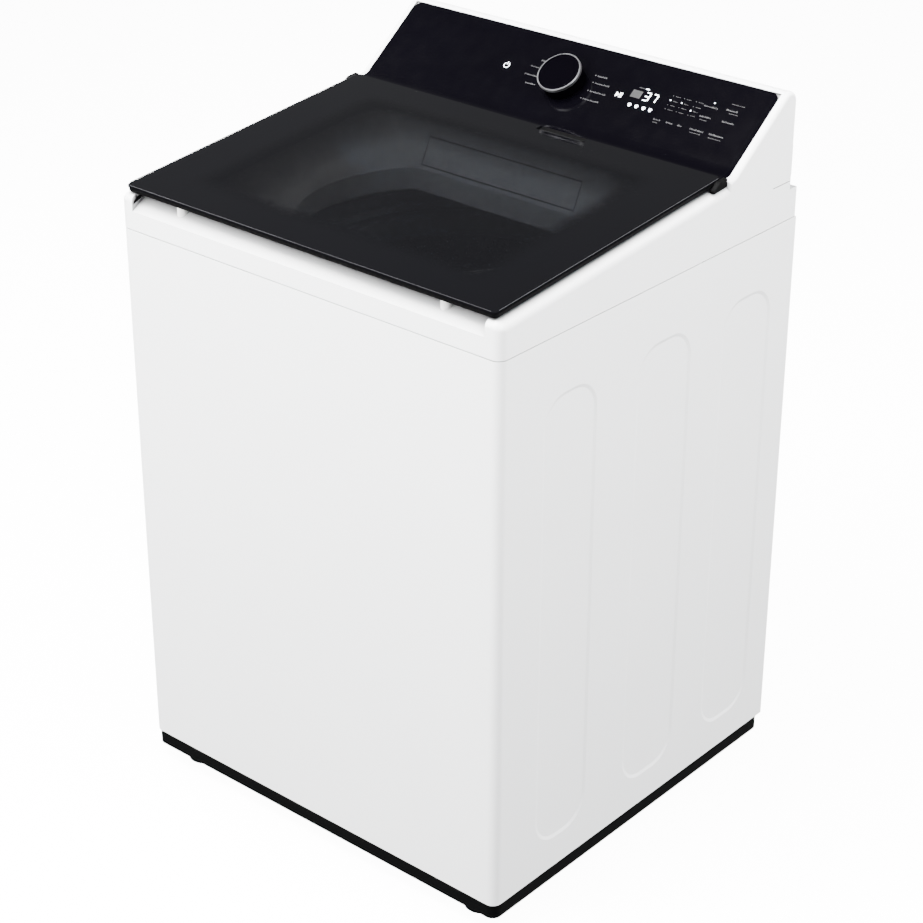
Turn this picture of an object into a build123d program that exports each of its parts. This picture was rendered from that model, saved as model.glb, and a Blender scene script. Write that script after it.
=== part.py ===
"""Top load washing machine, in millimetres, +Z up, front facing -Y.

The origin is on the floor, under the middle of the machine's outline.
Each section below makes one piece or one group of equal pieces.
"""

from build123d import *
from math import atan2, cos, degrees, radians, sin, sqrt, tan
import os

os.makedirs("parts", exist_ok=True)


UP = (Align.CENTER, Align.CENTER, Align.MIN)


def save(builder, name):
    """Labels a finished piece and writes it as one STEP file."""
    builder.part.label = name
    export_step(builder.part, f"parts/{name}.step")


# ---------------------------------------------------------------- driving dimensions
WIDTH = 686.0
FRONT_Y = -335.0
BACK_Y = 315.0
REAR_MOST_Y = 335.0
BASE_BOTTOM_Z = 25.0
BASE_TOP_Z = 49.0
SEAM_Z = 882.0
SEAM_GAP = 1.5
SHEET = 1.0
CORNER_R = 14.0
WALL = 3.0

LID_SLOPE = radians(5.0)
LID_FRONT_Y = -332.0
LID_BACK_Y = 139.4
LID_TOP_FRONT_Z = 947.0
LID_HALF = 332.0
EDGE_C = 0.8
GLASS_T = 4.0
FRAME_T = 7.0
LID_T = GLASS_T + FRAME_T
LID_GAP = 2.0

PANEL_SLOPE = radians(36.8)
PANEL_Y = 182.0
PANEL_Z = 1000.3
PANEL_TOP_S = 114.0
PANEL_HALF = 332.0
PANEL_T = 3.0
PANEL_FRONT_Y = 143.6
CONSOLE_BACK_Y = 298.0
CONSOLE_R = 16.0
CHEEK_EDGE_R = 6.0

DRUM_Y = -10.0
TUB_R = 306.0
TUB_T = 3.0
TUB_BOTTOM_Z = 215.0
TUB_TOP_Z = 806.0
BASKET_R = 268.0
BASKET_T = 1.2
BASKET_FLOOR_Z = 258.0
RING_BOTTOM_Z = 760.0
RING_TOP_Z = 802.0
RING_INNER_R = 238.0

ROD_X = 262.0
ROD_R = 4.0
LUG_Z = 290.0
ROD_CAP_Z = 200.0
ROD_TOP_Z = 856.0

HALF = WIDTH / 2
DEPTH = BACK_Y - FRONT_Y
MID_Y = (FRONT_Y + BACK_Y) / 2
TOP_Z = SEAM_Z + SEAM_GAP
FOOT_X = 282.0
FOOT_FRONT_Y = -291.0
FOOT_BACK_Y = 271.0
CORNERS = [(sx * ROD_X, DRUM_Y + sy * ROD_X) for sx in (-1, 1) for sy in (-1, 1)]
FEET = {
    "front_left": (-FOOT_X, FOOT_FRONT_Y),
    "front_right": (FOOT_X, FOOT_FRONT_Y),
    "back_left": (-FOOT_X, FOOT_BACK_Y),
    "back_right": (FOOT_X, FOOT_BACK_Y),
}


def lid_top(y):
    """Height of the closed lid's upper face at y."""
    return LID_TOP_FRONT_Z + (y - LID_FRONT_Y) * tan(LID_SLOPE)


def deck(y):
    """Height of the top cover's deck, just under the lid, at y."""
    return lid_top(y) - (LID_T + LID_GAP) / cos(LID_SLOPE)


def panel_z(y, drop=0.0):
    """Height of the sloping console face at y, less a drop along its normal."""
    return PANEL_Z + (y - PANEL_Y) * tan(PANEL_SLOPE) - drop / cos(PANEL_SLOPE)


lid_plane = Plane(
    origin=(0, LID_FRONT_Y, LID_TOP_FRONT_Z),
    x_dir=(1, 0, 0),
    z_dir=(0, -sin(LID_SLOPE), cos(LID_SLOPE)),
)
deck_plane = Plane(
    origin=(0, 0, deck(0)),
    x_dir=(1, 0, 0),
    z_dir=(0, -sin(LID_SLOPE), cos(LID_SLOPE)),
)
panel_plane = Plane(
    origin=(0, PANEL_Y, PANEL_Z),
    x_dir=(1, 0, 0),
    z_dir=(0, -sin(PANEL_SLOPE), cos(PANEL_SLOPE)),
)
drum_plane = Plane(origin=(0, DRUM_Y, 0))

# ---------------------------------------------------------------- cabinet wrapper
BEAD_BOTTOM_Z = 98.0
BEAD_TOP_Z = 797.0
BEAD_R = 45.0
BEAD_DEPTH = 1.6
BEAD_SLOPE_W = 5.0
BEADS = [(-247.0, -135.0), (-48.0, 73.0), (147.0, 264.0)]
FLANGE_W = 18.0


def bead(y_low, y_high, x_outer, x_inner, grow):
    """A tapered pad between two planes of constant x, in the shape of one pressed panel."""
    width, height = y_high - y_low, BEAD_TOP_Z - BEAD_BOTTOM_Z
    middle = ((y_low + y_high) / 2, (BEAD_TOP_Z + BEAD_BOTTOM_Z) / 2)
    with BuildPart() as pad:
        with BuildSketch(Plane.YZ.offset(x_outer)):
            with Locations(middle):
                RectangleRounded(width + 2 * grow, height + 2 * grow, BEAD_R + grow)
        with BuildSketch(Plane.YZ.offset(x_inner)):
            with Locations(middle):
                RectangleRounded(
                    width + 2 * grow - 2 * BEAD_SLOPE_W,
                    height + 2 * grow - 2 * BEAD_SLOPE_W,
                    BEAD_R + grow - BEAD_SLOPE_W,
                )
        loft()
    return pad.part


bead_backs = [
    bead(low, high, side * (HALF - SHEET / 2), side * (HALF - SHEET - BEAD_DEPTH), SHEET)
    for low, high in BEADS
    for side in (-1, 1)
]
bead_fronts = [
    bead(low, high, side * (HALF + 0.01), side * (HALF - BEAD_DEPTH), 0.0)
    for low, high in BEADS
    for side in (-1, 1)
]

with BuildPart() as cabinet_wrapper:
    with BuildSketch(Plane.XY.offset(BASE_TOP_Z)):
        with Locations((0, MID_Y)):
            Rectangle(WIDTH, DEPTH)
        fillet(vertices().sort_by(Axis.Y)[:2], CORNER_R)
    extrude(amount=SEAM_Z - BASE_TOP_Z)
    with BuildSketch(Plane.XY.offset(BASE_TOP_Z)):
        with Locations((0, MID_Y + SHEET)):
            Rectangle(WIDTH - 2 * SHEET, DEPTH)
        fillet(vertices().sort_by(Axis.Y)[:2], CORNER_R - SHEET)
    extrude(amount=SEAM_Z - BASE_TOP_Z, mode=Mode.SUBTRACT)
    for side in (-1, 1):
        with Locations((side * (HALF - FLANGE_W / 2), BACK_Y - SHEET / 2, (SEAM_Z + BASE_TOP_Z) / 2)):
            Box(FLANGE_W, SHEET, SEAM_Z - BASE_TOP_Z)
    for pad in bead_backs:
        add(pad)
    for pad in bead_fronts:
        add(pad, mode=Mode.SUBTRACT)
save(cabinet_wrapper, "cabinet_wrapper")

# ---------------------------------------------------------------- rear panel and its screws
REAR_HALF = 334.0
REAR_T = 1.0
SCREW_X = 330.0
SCREW_ZS = (80.0, 280.0, 480.0, 680.0, 860.0)
RIB_ZS = (180.0, 340.0, 500.0, 660.0)
DRAIN_X, DRAIN_Z = 225.0, 790.0
CORD_X, CORD_Z = 255.0, 862.0
DRAIN_HOLE_R = 18.0
CORD_HOLE_R = 10.0

with BuildPart() as rear_panel:
    with BuildSketch(Plane.XZ.offset(-BACK_Y - REAR_T)):
        with Locations((0, (BASE_TOP_Z + SEAM_Z) / 2)):
            RectangleRounded(2 * REAR_HALF, SEAM_Z - BASE_TOP_Z, 6)
    extrude(amount=REAR_T)
    with BuildSketch(Plane.XZ.offset(-BACK_Y - REAR_T)):
        for rib_z in RIB_ZS:
            with Locations((0, rib_z)):
                SlotOverall(480, 36)
    extrude(amount=-2.0)
    with BuildSketch(Plane.XZ.offset(-BACK_Y)):
        for rib_z in RIB_ZS:
            with Locations((0, rib_z)):
                SlotOverall(476, 32)
    extrude(amount=-2.0, mode=Mode.SUBTRACT)
    with Locations(Plane.XZ.offset(-BACK_Y - REAR_T - 2)):
        with Locations(
            *[(side * SCREW_X, z) for side in (-1, 1) for z in SCREW_ZS]
        ):
            Hole(2.3)
        with Locations((DRAIN_X, DRAIN_Z)):
            Hole(DRAIN_HOLE_R)
        with Locations((CORD_X, CORD_Z)):
            Hole(CORD_HOLE_R)
save(rear_panel, "rear_panel")

with BuildPart() as rear_panel_screws:
    for side in (-1, 1):
        for z in SCREW_ZS:
            with Locations(Location((side * SCREW_X, BACK_Y + REAR_T, z), (-90, 0, 0))):
                Cylinder(4.5, 2.4, align=UP)
    fillet(edges().filter_by(GeomType.CIRCLE).group_by(Axis.Y)[-1], 1.0)
    for side in (-1, 1):
        for z in SCREW_ZS:
            with Locations((side * SCREW_X, BACK_Y + REAR_T + 2.2, z)):
                Box(5.0, 1.6, 1.0, mode=Mode.SUBTRACT)
                Box(1.0, 1.6, 5.0, mode=Mode.SUBTRACT)
save(rear_panel_screws, "rear_panel_screws")

# ---------------------------------------------------------------- base frame
BASE_INSET = 2.0
BASE_WALL = 4.0
BASE_OPENING_R = 225.0
FOOT_BOSS_R = 15.0
STEM_R = 6.0
STEM_CLEARANCE = 0.05

with BuildPart() as base_frame:
    with BuildSketch(Plane.XY.offset(BASE_BOTTOM_Z)):
        with Locations((0, MID_Y)):
            RectangleRounded(WIDTH - 2 * BASE_INSET, DEPTH - 2 * BASE_INSET, CORNER_R)
    extrude(amount=BASE_TOP_Z - BASE_BOTTOM_Z)
    with BuildSketch(Plane.XY.offset(BASE_BOTTOM_Z)):
        with Locations((0, MID_Y)):
            RectangleRounded(
                WIDTH - 2 * BASE_INSET - 2 * BASE_WALL,
                DEPTH - 2 * BASE_INSET - 2 * BASE_WALL,
                CORNER_R - BASE_WALL,
            )
    extrude(amount=BASE_TOP_Z - BASE_BOTTOM_Z - BASE_WALL, mode=Mode.SUBTRACT)
    with BuildSketch(Plane.XY.offset(BASE_BOTTOM_Z)):
        for side in (-1, 1):
            with Locations((side * 235, MID_Y), (0, MID_Y + side * 235)):
                Rectangle(BASE_WALL, BASE_WALL)
        for angle in (45, 135):
            with Locations(Location((0, MID_Y, 0), (0, 0, angle))):
                Rectangle(800, BASE_WALL)
    extrude(amount=BASE_TOP_Z - BASE_BOTTOM_Z - 1)
    with Locations(*[(x, y, BASE_BOTTOM_Z) for x, y in FEET.values()]):
        Cylinder(FOOT_BOSS_R, BASE_TOP_Z - BASE_BOTTOM_Z, align=UP)
    with Locations((0, DRUM_Y, BASE_BOTTOM_Z)):
        Cylinder(
            BASE_OPENING_R,
            BASE_TOP_Z,
            align=UP,
            mode=Mode.SUBTRACT,
        )
    with Locations(*[(x, y, BASE_BOTTOM_Z) for x, y in FEET.values()]):
        Cylinder(
            STEM_R + STEM_CLEARANCE,
            3 * BASE_TOP_Z,
            mode=Mode.SUBTRACT,
        )
    with BuildSketch(Plane.XY.offset(BASE_BOTTOM_Z)):
        with Locations((0, MID_Y)):
            RectangleRounded(WIDTH, DEPTH, CORNER_R)
            RectangleRounded(
                WIDTH - 2 * BASE_INSET,
                DEPTH - 2 * BASE_INSET,
                CORNER_R - BASE_INSET,
                mode=Mode.SUBTRACT,
            )
    extrude(amount=BASE_TOP_Z, mode=Mode.SUBTRACT)
save(base_frame, "base_frame")

# ---------------------------------------------------------------- levelling feet and lock nuts
FOOT_PAD_R = 24.0
FOOT_PAD_H = 14.0
STEM_TOP_Z = 74.0
NUT_H = 6.0

for corner, (foot_x, foot_y) in FEET.items():
    with BuildPart() as foot:
        with BuildSketch(Plane.XZ):
            with BuildLine():
                Polyline(
                    (0, 0),
                    (FOOT_PAD_R - 2, 0),
                    (FOOT_PAD_R, 2),
                    (FOOT_PAD_R, 7),
                    (FOOT_PAD_R - 7, FOOT_PAD_H),
                    (0, FOOT_PAD_H),
                    close=True,
                )
            make_face()
        revolve(axis=Axis.Z)
        with BuildSketch(Plane.XY.offset(FOOT_PAD_H)):
            RegularPolygon(10, 6)
        extrude(amount=1.0)
        with Locations((0, 0, FOOT_PAD_H)):
            Cylinder(STEM_R, STEM_TOP_Z - FOOT_PAD_H, align=UP)
        chamfer(edges().filter_by(GeomType.CIRCLE).sort_by(Axis.Z)[-1], 1.2)
    foot.part.locate(Location((foot_x, foot_y, 0)))
    save(foot, f"foot_{corner}")

with BuildPart() as foot_lock_nuts:
    with BuildSketch(Plane.XY.offset(BASE_TOP_Z)):
        with Locations(*FEET.values()):
            RegularPolygon(10.5, 6)
            Circle(STEM_R + STEM_CLEARANCE, mode=Mode.SUBTRACT)
    extrude(amount=NUT_H)
save(foot_lock_nuts, "foot_lock_nuts")

# ---------------------------------------------------------------- top cover
OPENING_Z = 905.0
OPENING_R = 197.0
OPENING_Y = -63.0
CHORD_Y = 62.0
CHORD_CORNER_R = 30.0
SKIRT_BOTTOM_Z = 872.0
BASIN_HALF = 250.0
BASIN_FRONT_Y = -285.0
BASIN_BACK_Y = 95.0
BASIN_R = 60.0
SHOULDER_W, SHOULDER_H = 8.0, 13.0
SCOOP_HALF = 318.0
SCOOP_FRONT_Z = 911.0
SCOOP_BACK_Y = -296.0
FRONT_R = 10.0
CHEEK_RISE = 0.8
REAR_WALL_Y = 311.0
REAR_STEP_Z = 928.0
DRAWER_HALF = 140.0
DRAWER_LOW_Z = 911.0
DRAWER_HIGH_Z = 949.0
BAND_SLOPE = atan2(deck(BASIN_BACK_Y) - OPENING_Z, BASIN_BACK_Y - CHORD_Y)
SLOT_X, SLOT_Y = 292.0, -120.0
GROOVE_Y, GROOVE_Z, GROOVE_L, GROOVE_W = 283.0, 941.0, 64.0, 1.4
SERVICE_Z, SERVICE_W, SERVICE_H = 958.0, 620.0, 40.0
LAMP_WINDOW_S, LAMP_WINDOW_W, LAMP_WINDOW_H = 47.0, 600.0, 74.0
INLET_XS = {"hot": -230.0, "cold": -160.0}
INLET_Z = 904.0
INLET_HOLE_R = 17.0
HINGE_Y = 135.0
HINGE_DROP = 6.7
HINGE_Z = lid_top(HINGE_Y) - HINGE_DROP
PIN_R = 2.5

panel_kink_y = 159.0
panel_kink_z = panel_z(panel_kink_y)
cheek_top_y = CONSOLE_BACK_Y
seat_end_y = PANEL_Y + (PANEL_TOP_S + 0.6) * cos(PANEL_SLOPE)
seat_end_z = panel_z(seat_end_y)
seat_drop = PANEL_T + 0.3
LEDGE_Z = 981.0
LIP_BOTTOM_Z = deck(PANEL_FRONT_Y) + 1.0
cheek_top_z = panel_z(cheek_top_y, -CHEEK_RISE)


def opening_outline(grow, z):
    """The tub opening: a round front and a straight back with rounded corners."""
    radius = OPENING_R + grow
    chord = CHORD_Y + grow
    half = sqrt(radius**2 - (chord - OPENING_Y) ** 2)
    with BuildSketch(Plane.XY.offset(z)) as outline:
        with BuildLine():
            ThreePointArc((half, chord), (0, OPENING_Y - radius), (-half, chord))
            Line((-half, chord), (half, chord))
        make_face()
        fillet(vertices().group_by(Axis.Y)[-1], CHORD_CORNER_R + grow)
    return outline.sketch


def basin_outline(grow):
    """The basin's upper edge, a rounded rectangle on the deck."""
    with BuildSketch(deck_plane.offset(0.05)) as outline:
        with Locations((0, (BASIN_FRONT_Y + BASIN_BACK_Y) / 2)):
            RectangleRounded(
                2 * (BASIN_HALF + grow),
                BASIN_BACK_Y - BASIN_FRONT_Y + 2 * grow,
                BASIN_R + grow,
            )
    return outline.sketch


def basin(grow):
    """The sloping basin from the deck down to the opening, and the skirt below it."""
    funnel = Solid.make_loft(
        [opening_outline(grow, OPENING_Z).face().outer_wire(), basin_outline(grow).face().outer_wire()]
    )
    skirt = extrude(opening_outline(grow, SKIRT_BOTTOM_Z), OPENING_Z - SKIRT_BOTTOM_Z)
    return funnel + skirt


basin_outside = basin(WALL)
basin_inside = basin(0.0) + extrude(opening_outline(0.0, SKIRT_BOTTOM_Z - 1), 2)

with BuildPart() as cover_hollow:
    with BuildSketch(Plane.YZ.offset(-HALF + WALL)):
        with BuildLine():
            Polyline(
                (FRONT_Y + WALL, TOP_Z - 1),
                (FRONT_Y + WALL, deck(FRONT_Y) - WALL - 6),
                (FRONT_Y + WALL + 6, deck(FRONT_Y + 6) - WALL),
                (PANEL_FRONT_Y + WALL, deck(PANEL_FRONT_Y) - WALL),
                (PANEL_FRONT_Y + WALL, panel_z(panel_kink_y, 10)),
                (panel_kink_y + 6, panel_z(panel_kink_y + 6, PANEL_T + WALL)),
                (cheek_top_y - 12, panel_z(cheek_top_y - 12, PANEL_T + WALL)),
                (cheek_top_y - WALL, panel_z(cheek_top_y - WALL, 28)),
                (cheek_top_y - WALL, REAR_STEP_Z - WALL),
                (REAR_WALL_Y - WALL, REAR_STEP_Z - WALL),
                (REAR_WALL_Y - WALL, TOP_Z - 1),
                close=True,
            )
        make_face()
    extrude(amount=WIDTH - 2 * WALL)
    for side in (-1, 1):
        with BuildSketch(Plane.YZ.offset(side * (HALF - SHOULDER_W / 2))):
            with BuildLine():
                Polyline(
                    (FRONT_Y, deck(FRONT_Y) - SHOULDER_H),
                    (PANEL_FRONT_Y + WALL, deck(PANEL_FRONT_Y + WALL) - SHOULDER_H),
                    (PANEL_FRONT_Y + WALL, deck(PANEL_FRONT_Y + WALL)),
                    (FRONT_Y, deck(FRONT_Y)),
                    close=True,
                )
            make_face()
        extrude(amount=SHOULDER_W / 2, both=True, mode=Mode.SUBTRACT)
    with BuildSketch(Plane.XY.offset(TOP_Z - 2)):
        with Locations((0, MID_Y)):
            RectangleRounded(WIDTH - 2 * WALL, DEPTH - 2 * WALL, CORNER_R - WALL)
    extrude(amount=300, mode=Mode.INTERSECT)

with BuildPart() as top_cover:
    with BuildSketch(Plane.YZ.offset(-HALF)):
        with BuildLine():
            Polyline(
                (FRONT_Y, TOP_Z),
                (FRONT_Y, deck(FRONT_Y)),
                (PANEL_FRONT_Y, deck(PANEL_FRONT_Y)),
                (PANEL_FRONT_Y, panel_kink_z - 2),
                (panel_kink_y, panel_kink_z + CHEEK_RISE),
                (cheek_top_y, cheek_top_z),
                (cheek_top_y, REAR_STEP_Z),
                (REAR_WALL_Y, REAR_STEP_Z),
                (REAR_WALL_Y, TOP_Z),
                close=True,
            )
        make_face()
        fillet(vertices().group_by(Axis.Y)[-1], CONSOLE_R)
        fillet(vertices().group_by(Axis.X)[0].sort_by(Axis.Y)[-1], FRONT_R)
    extrude(amount=WIDTH)
    fillet(edges().filter_by(Axis.Z).group_by(Axis.Y)[0], CORNER_R)
    for side in (-1, 1):
        rim = edges().filter_by_position(Axis.X, side * HALF - 0.1, side * HALF + 0.1)
        upper_rim = rim.filter_by_position(Axis.Z, deck(FRONT_Y) + 1, cheek_top_z + 50)
        fillet(upper_rim.filter_by(lambda e: e.center().Y < CONSOLE_BACK_Y - 1), CHEEK_EDGE_R)
    add(cover_hollow.part, mode=Mode.SUBTRACT)
    with BuildSketch(Plane.YZ.offset(-PANEL_HALF - 0.4)):
        with BuildLine():
            Polyline(
                (PANEL_FRONT_Y - 2, LIP_BOTTOM_Z - 0.3),
                (PANEL_FRONT_Y + PANEL_T + 0.3, LIP_BOTTOM_Z - 0.3),
                (PANEL_FRONT_Y + PANEL_T + 0.3, LEDGE_Z - PANEL_T - 0.3),
                (panel_kink_y + 1, panel_kink_z - PANEL_T - 0.3),
                (panel_kink_y + 5, panel_z(panel_kink_y + 5, PANEL_T + 0.3)),
                (seat_end_y + seat_drop * sin(PANEL_SLOPE), seat_end_z - seat_drop * cos(PANEL_SLOPE)),
                (seat_end_y - 30 * sin(PANEL_SLOPE), seat_end_z + 30 * cos(PANEL_SLOPE)),
                (PANEL_FRONT_Y - 2, cheek_top_z + 30),
                close=True,
            )
        make_face()
    extrude(amount=2 * PANEL_HALF + 0.8, mode=Mode.SUBTRACT)
    with BuildSketch(Plane.YZ.offset(-SCOOP_HALF - WALL)):
        with BuildLine():
            Polyline(
                (FRONT_Y + 0.5, SCOOP_FRONT_Z - WALL - 1),
                (SCOOP_BACK_Y + WALL, deck(SCOOP_BACK_Y) - WALL - 1),
                (SCOOP_BACK_Y + WALL, deck(SCOOP_BACK_Y) - 1),
                (FRONT_Y + 0.5, SCOOP_FRONT_Z + 8),
                close=True,
            )
        make_face()
    extrude(amount=2 * (SCOOP_HALF + WALL))
    with BuildSketch(panel_plane.offset(-PANEL_T - 2 * WALL)):
        with Locations((0, LAMP_WINDOW_S)):
            Rectangle(LAMP_WINDOW_W, LAMP_WINDOW_H)
    extrude(amount=2 * WALL, mode=Mode.SUBTRACT)
    add(basin_outside)
    add(basin_inside, mode=Mode.SUBTRACT)
    with BuildSketch(Plane.YZ.offset(-SCOOP_HALF)):
        with BuildLine():
            Polyline(
                (FRONT_Y - 1, SCOOP_FRONT_Z - 0.6),
                (SCOOP_BACK_Y, deck(SCOOP_BACK_Y) + 0.01),
                (SCOOP_BACK_Y, deck(SCOOP_BACK_Y) + 20),
                (FRONT_Y - 1, deck(SCOOP_BACK_Y) + 20),
                close=True,
            )
        make_face()
    extrude(amount=2 * SCOOP_HALF, mode=Mode.SUBTRACT)
    with BuildSketch(Plane.XZ.offset(-CHORD_Y - 70)):
        with Locations((0, (DRAWER_LOW_Z + DRAWER_HIGH_Z) / 2)):
            Rectangle(2 * DRAWER_HALF + 1.2, DRAWER_HIGH_Z - DRAWER_LOW_Z + 1.2)
    extrude(amount=80, mode=Mode.SUBTRACT)
    with Locations((0, CONSOLE_BACK_Y - WALL, SERVICE_Z)):
        Box(SERVICE_W, 4 * WALL, SERVICE_H, mode=Mode.SUBTRACT)
    with Locations((SLOT_X, SLOT_Y, deck(SLOT_Y))):
        Box(12, 32, 30, mode=Mode.SUBTRACT)
    with Locations(Plane.XZ.offset(-REAR_WALL_Y)):
        with Locations(*[(x, INLET_Z) for x in INLET_XS.values()]):
            Hole(INLET_HOLE_R, depth=3 * WALL)
    for side in (-1, 1):
        with Locations((side * HALF, GROOVE_Y, GROOVE_Z)):
            Box(2 * GROOVE_W, GROOVE_L, GROOVE_W, mode=Mode.SUBTRACT)
save(top_cover, "top_cover")

# ---------------------------------------------------------------- lid bumpers
BUMPER_X, BUMPER_Y, BUMPER_R = 238.0, -314.0, 8.0
LID_REST_GAP = 0.3

with BuildPart() as lid_bumpers:
    with Locations(*[(side * BUMPER_X, BUMPER_Y, SCOOP_FRONT_Z - 5) for side in (-1, 1)]):
        Cylinder(BUMPER_R, 60, align=UP)
    with BuildSketch(Plane.YZ.offset(-SCOOP_HALF)):
        with BuildLine():
            Polyline(
                (FRONT_Y - 1, SCOOP_FRONT_Z - 0.6),
                (SCOOP_BACK_Y, deck(SCOOP_BACK_Y) + 0.01),
                (SCOOP_BACK_Y, SCOOP_FRONT_Z - 40),
                (FRONT_Y - 1, SCOOP_FRONT_Z - 40),
                close=True,
            )
        make_face()
    extrude(amount=2 * SCOOP_HALF, mode=Mode.SUBTRACT)
    with BuildSketch(lid_plane.offset(-LID_T - LID_REST_GAP)):
        Rectangle(3 * HALF, 3 * HALF)
    extrude(amount=80, mode=Mode.SUBTRACT)
save(lid_bumpers, "lid_bumpers")

# ---------------------------------------------------------------- lid: glass, frame, pins and strike
LID_LENGTH = (LID_BACK_Y - LID_FRONT_Y) / cos(LID_SLOPE)
LID_CORNER_R = 7.0
NOTCH_X, NOTCH_W, NOTCH_DEPTH = 63.5, 83.0, 14.0
WINDOW_SIDE, WINDOW_FRONT, WINDOW_REAR = 44.0, 46.0, 44.0
PIN_IN_X, PIN_OUT_X = 318.0, 339.5
STRIKE_T, STRIKE_L, STRIKE_DROP = 4.0, 18.0, 24.0
SLOT_S = (SLOT_Y - LID_FRONT_Y) / cos(LID_SLOPE)


def lid_outline(inset):
    """The lid's outline with the clearance notch at its rear edge."""
    with BuildSketch() as outline:
        with Locations((0, LID_LENGTH / 2)):
            RectangleRounded(2 * LID_HALF - 2 * inset, LID_LENGTH - 2 * inset, LID_CORNER_R)
        with Locations((NOTCH_X, LID_LENGTH)):
            RectangleRounded(NOTCH_W + 2 * inset, 2 * NOTCH_DEPTH + 2 * inset, 3, mode=Mode.SUBTRACT)
    return outline.sketch


with BuildPart() as lid_glass:
    with BuildSketch(lid_plane.offset(-GLASS_T)):
        add(lid_outline(0.0))
    extrude(amount=GLASS_T)
    rear_rim = edges().filter_by(Axis.X).filter_by(lambda e: abs(e.center().Y - LID_BACK_Y) < 0.6)
    chamfer(rear_rim.group_by(Axis.Z)[-1], 1.5)
save(lid_glass, "lid_glass")

with BuildPart() as lid_frame:
    with BuildSketch(lid_plane.offset(-LID_T)):
        add(lid_outline(0.8))
        with Locations((0, (WINDOW_FRONT + LID_LENGTH - WINDOW_REAR) / 2)):
            RectangleRounded(
                2 * (LID_HALF - WINDOW_SIDE),
                LID_LENGTH - WINDOW_FRONT - WINDOW_REAR,
                24,
                mode=Mode.SUBTRACT,
            )
    extrude(amount=FRAME_T)
    low_rear = edges().filter_by(Axis.X).filter_by(lambda e: e.center().Y > LID_BACK_Y - 3)
    chamfer(low_rear.group_by(Axis.Z)[0], 2.0)
    for side in (-1, 1):
        with Locations(Location((side * (PIN_IN_X + 20), HINGE_Y, HINGE_Z), (0, 90, 0))):
            Cylinder(PIN_R, 40, mode=Mode.SUBTRACT)
save(lid_frame, "lid_frame")

with BuildPart() as lid_hinge_pins:
    for side in (-1, 1):
        with Locations(Location((side * (PIN_IN_X + PIN_OUT_X) / 2, HINGE_Y, HINGE_Z), (0, 90, 0))):
            Cylinder(PIN_R, PIN_OUT_X - PIN_IN_X)
save(lid_hinge_pins, "lid_hinge_pins")

with BuildPart() as lid_strike:
    with BuildSketch(lid_plane.offset(-LID_T)):
        with Locations((SLOT_X, SLOT_S)):
            RectangleRounded(8, STRIKE_L + 4, 1.5)
    extrude(amount=-1.5)
    with BuildSketch(lid_plane.offset(-LID_T)):
        with Locations((SLOT_X, SLOT_S)):
            Rectangle(STRIKE_T, STRIKE_L)
    extrude(amount=-STRIKE_DROP)
    strike_eye = lid_plane.offset(-LID_T - STRIKE_DROP + 8)
    with Locations(strike_eye * Location((SLOT_X, SLOT_S, 0))):
        Box(3 * STRIKE_T, 11, 8, mode=Mode.SUBTRACT)
save(lid_strike, "lid_strike")

# ---------------------------------------------------------------- hinge brackets
BRACKET_IN_X, BRACKET_OUT_X = 333.5, 340.5
BRACKET_FRONT_Y, BRACKET_REAR_Y = 112.0, 141.5
PIN_CLEARANCE = 0.05

with BuildPart() as hinge_brackets:
    for side in (-1, 1):
        with BuildSketch(Plane.YZ.offset(side * (BRACKET_IN_X + BRACKET_OUT_X) / 2)):
            with BuildLine():
                Polyline(
                    (BRACKET_FRONT_Y, deck(BRACKET_FRONT_Y)),
                    (BRACKET_FRONT_Y, deck(BRACKET_FRONT_Y) + 4),
                    (BRACKET_FRONT_Y + 12, lid_top(BRACKET_FRONT_Y + 12) - 1.5),
                    (BRACKET_REAR_Y, lid_top(BRACKET_REAR_Y) - 1.5),
                    (BRACKET_REAR_Y, deck(BRACKET_REAR_Y)),
                    close=True,
                )
            make_face()
        extrude(amount=(BRACKET_OUT_X - BRACKET_IN_X) / 2, both=True)
        with Locations(Location((side * BRACKET_IN_X, HINGE_Y, HINGE_Z), (0, 90, 0))):
            Cylinder(PIN_R + PIN_CLEARANCE, 13, mode=Mode.SUBTRACT)
save(hinge_brackets, "hinge_brackets")

# ---------------------------------------------------------------- drum lamp
LAMP_FRONT_Y, LAMP_REAR_Y = 128.5, 141.5

with BuildPart() as drum_light:
    with BuildSketch(Plane.YZ.offset(NOTCH_X - NOTCH_W / 2 + 2)):
        with BuildLine():
            Polyline(
                (LAMP_FRONT_Y, deck(LAMP_FRONT_Y)),
                (LAMP_FRONT_Y, deck(LAMP_FRONT_Y) + 8),
                (LAMP_FRONT_Y + 4, lid_top(LAMP_FRONT_Y) - 2),
                (LAMP_REAR_Y, lid_top(LAMP_REAR_Y) - 2),
                (LAMP_REAR_Y, deck(LAMP_REAR_Y)),
                close=True,
            )
        make_face()
    extrude(amount=NOTCH_W - 4)
save(drum_light, "drum_light")

# ---------------------------------------------------------------- console panel
PANEL_CORNER_R = 14.0
PANEL_BEND_R = 50.0
PANEL_BEND_Y = panel_kink_y + 14
KINK_S = (panel_kink_y - PANEL_Y) / cos(PANEL_SLOPE)
DIAL_S = 44.6
SHAFT_R = 3.0
SHAFT_HOLE_R = 4.0

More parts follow.
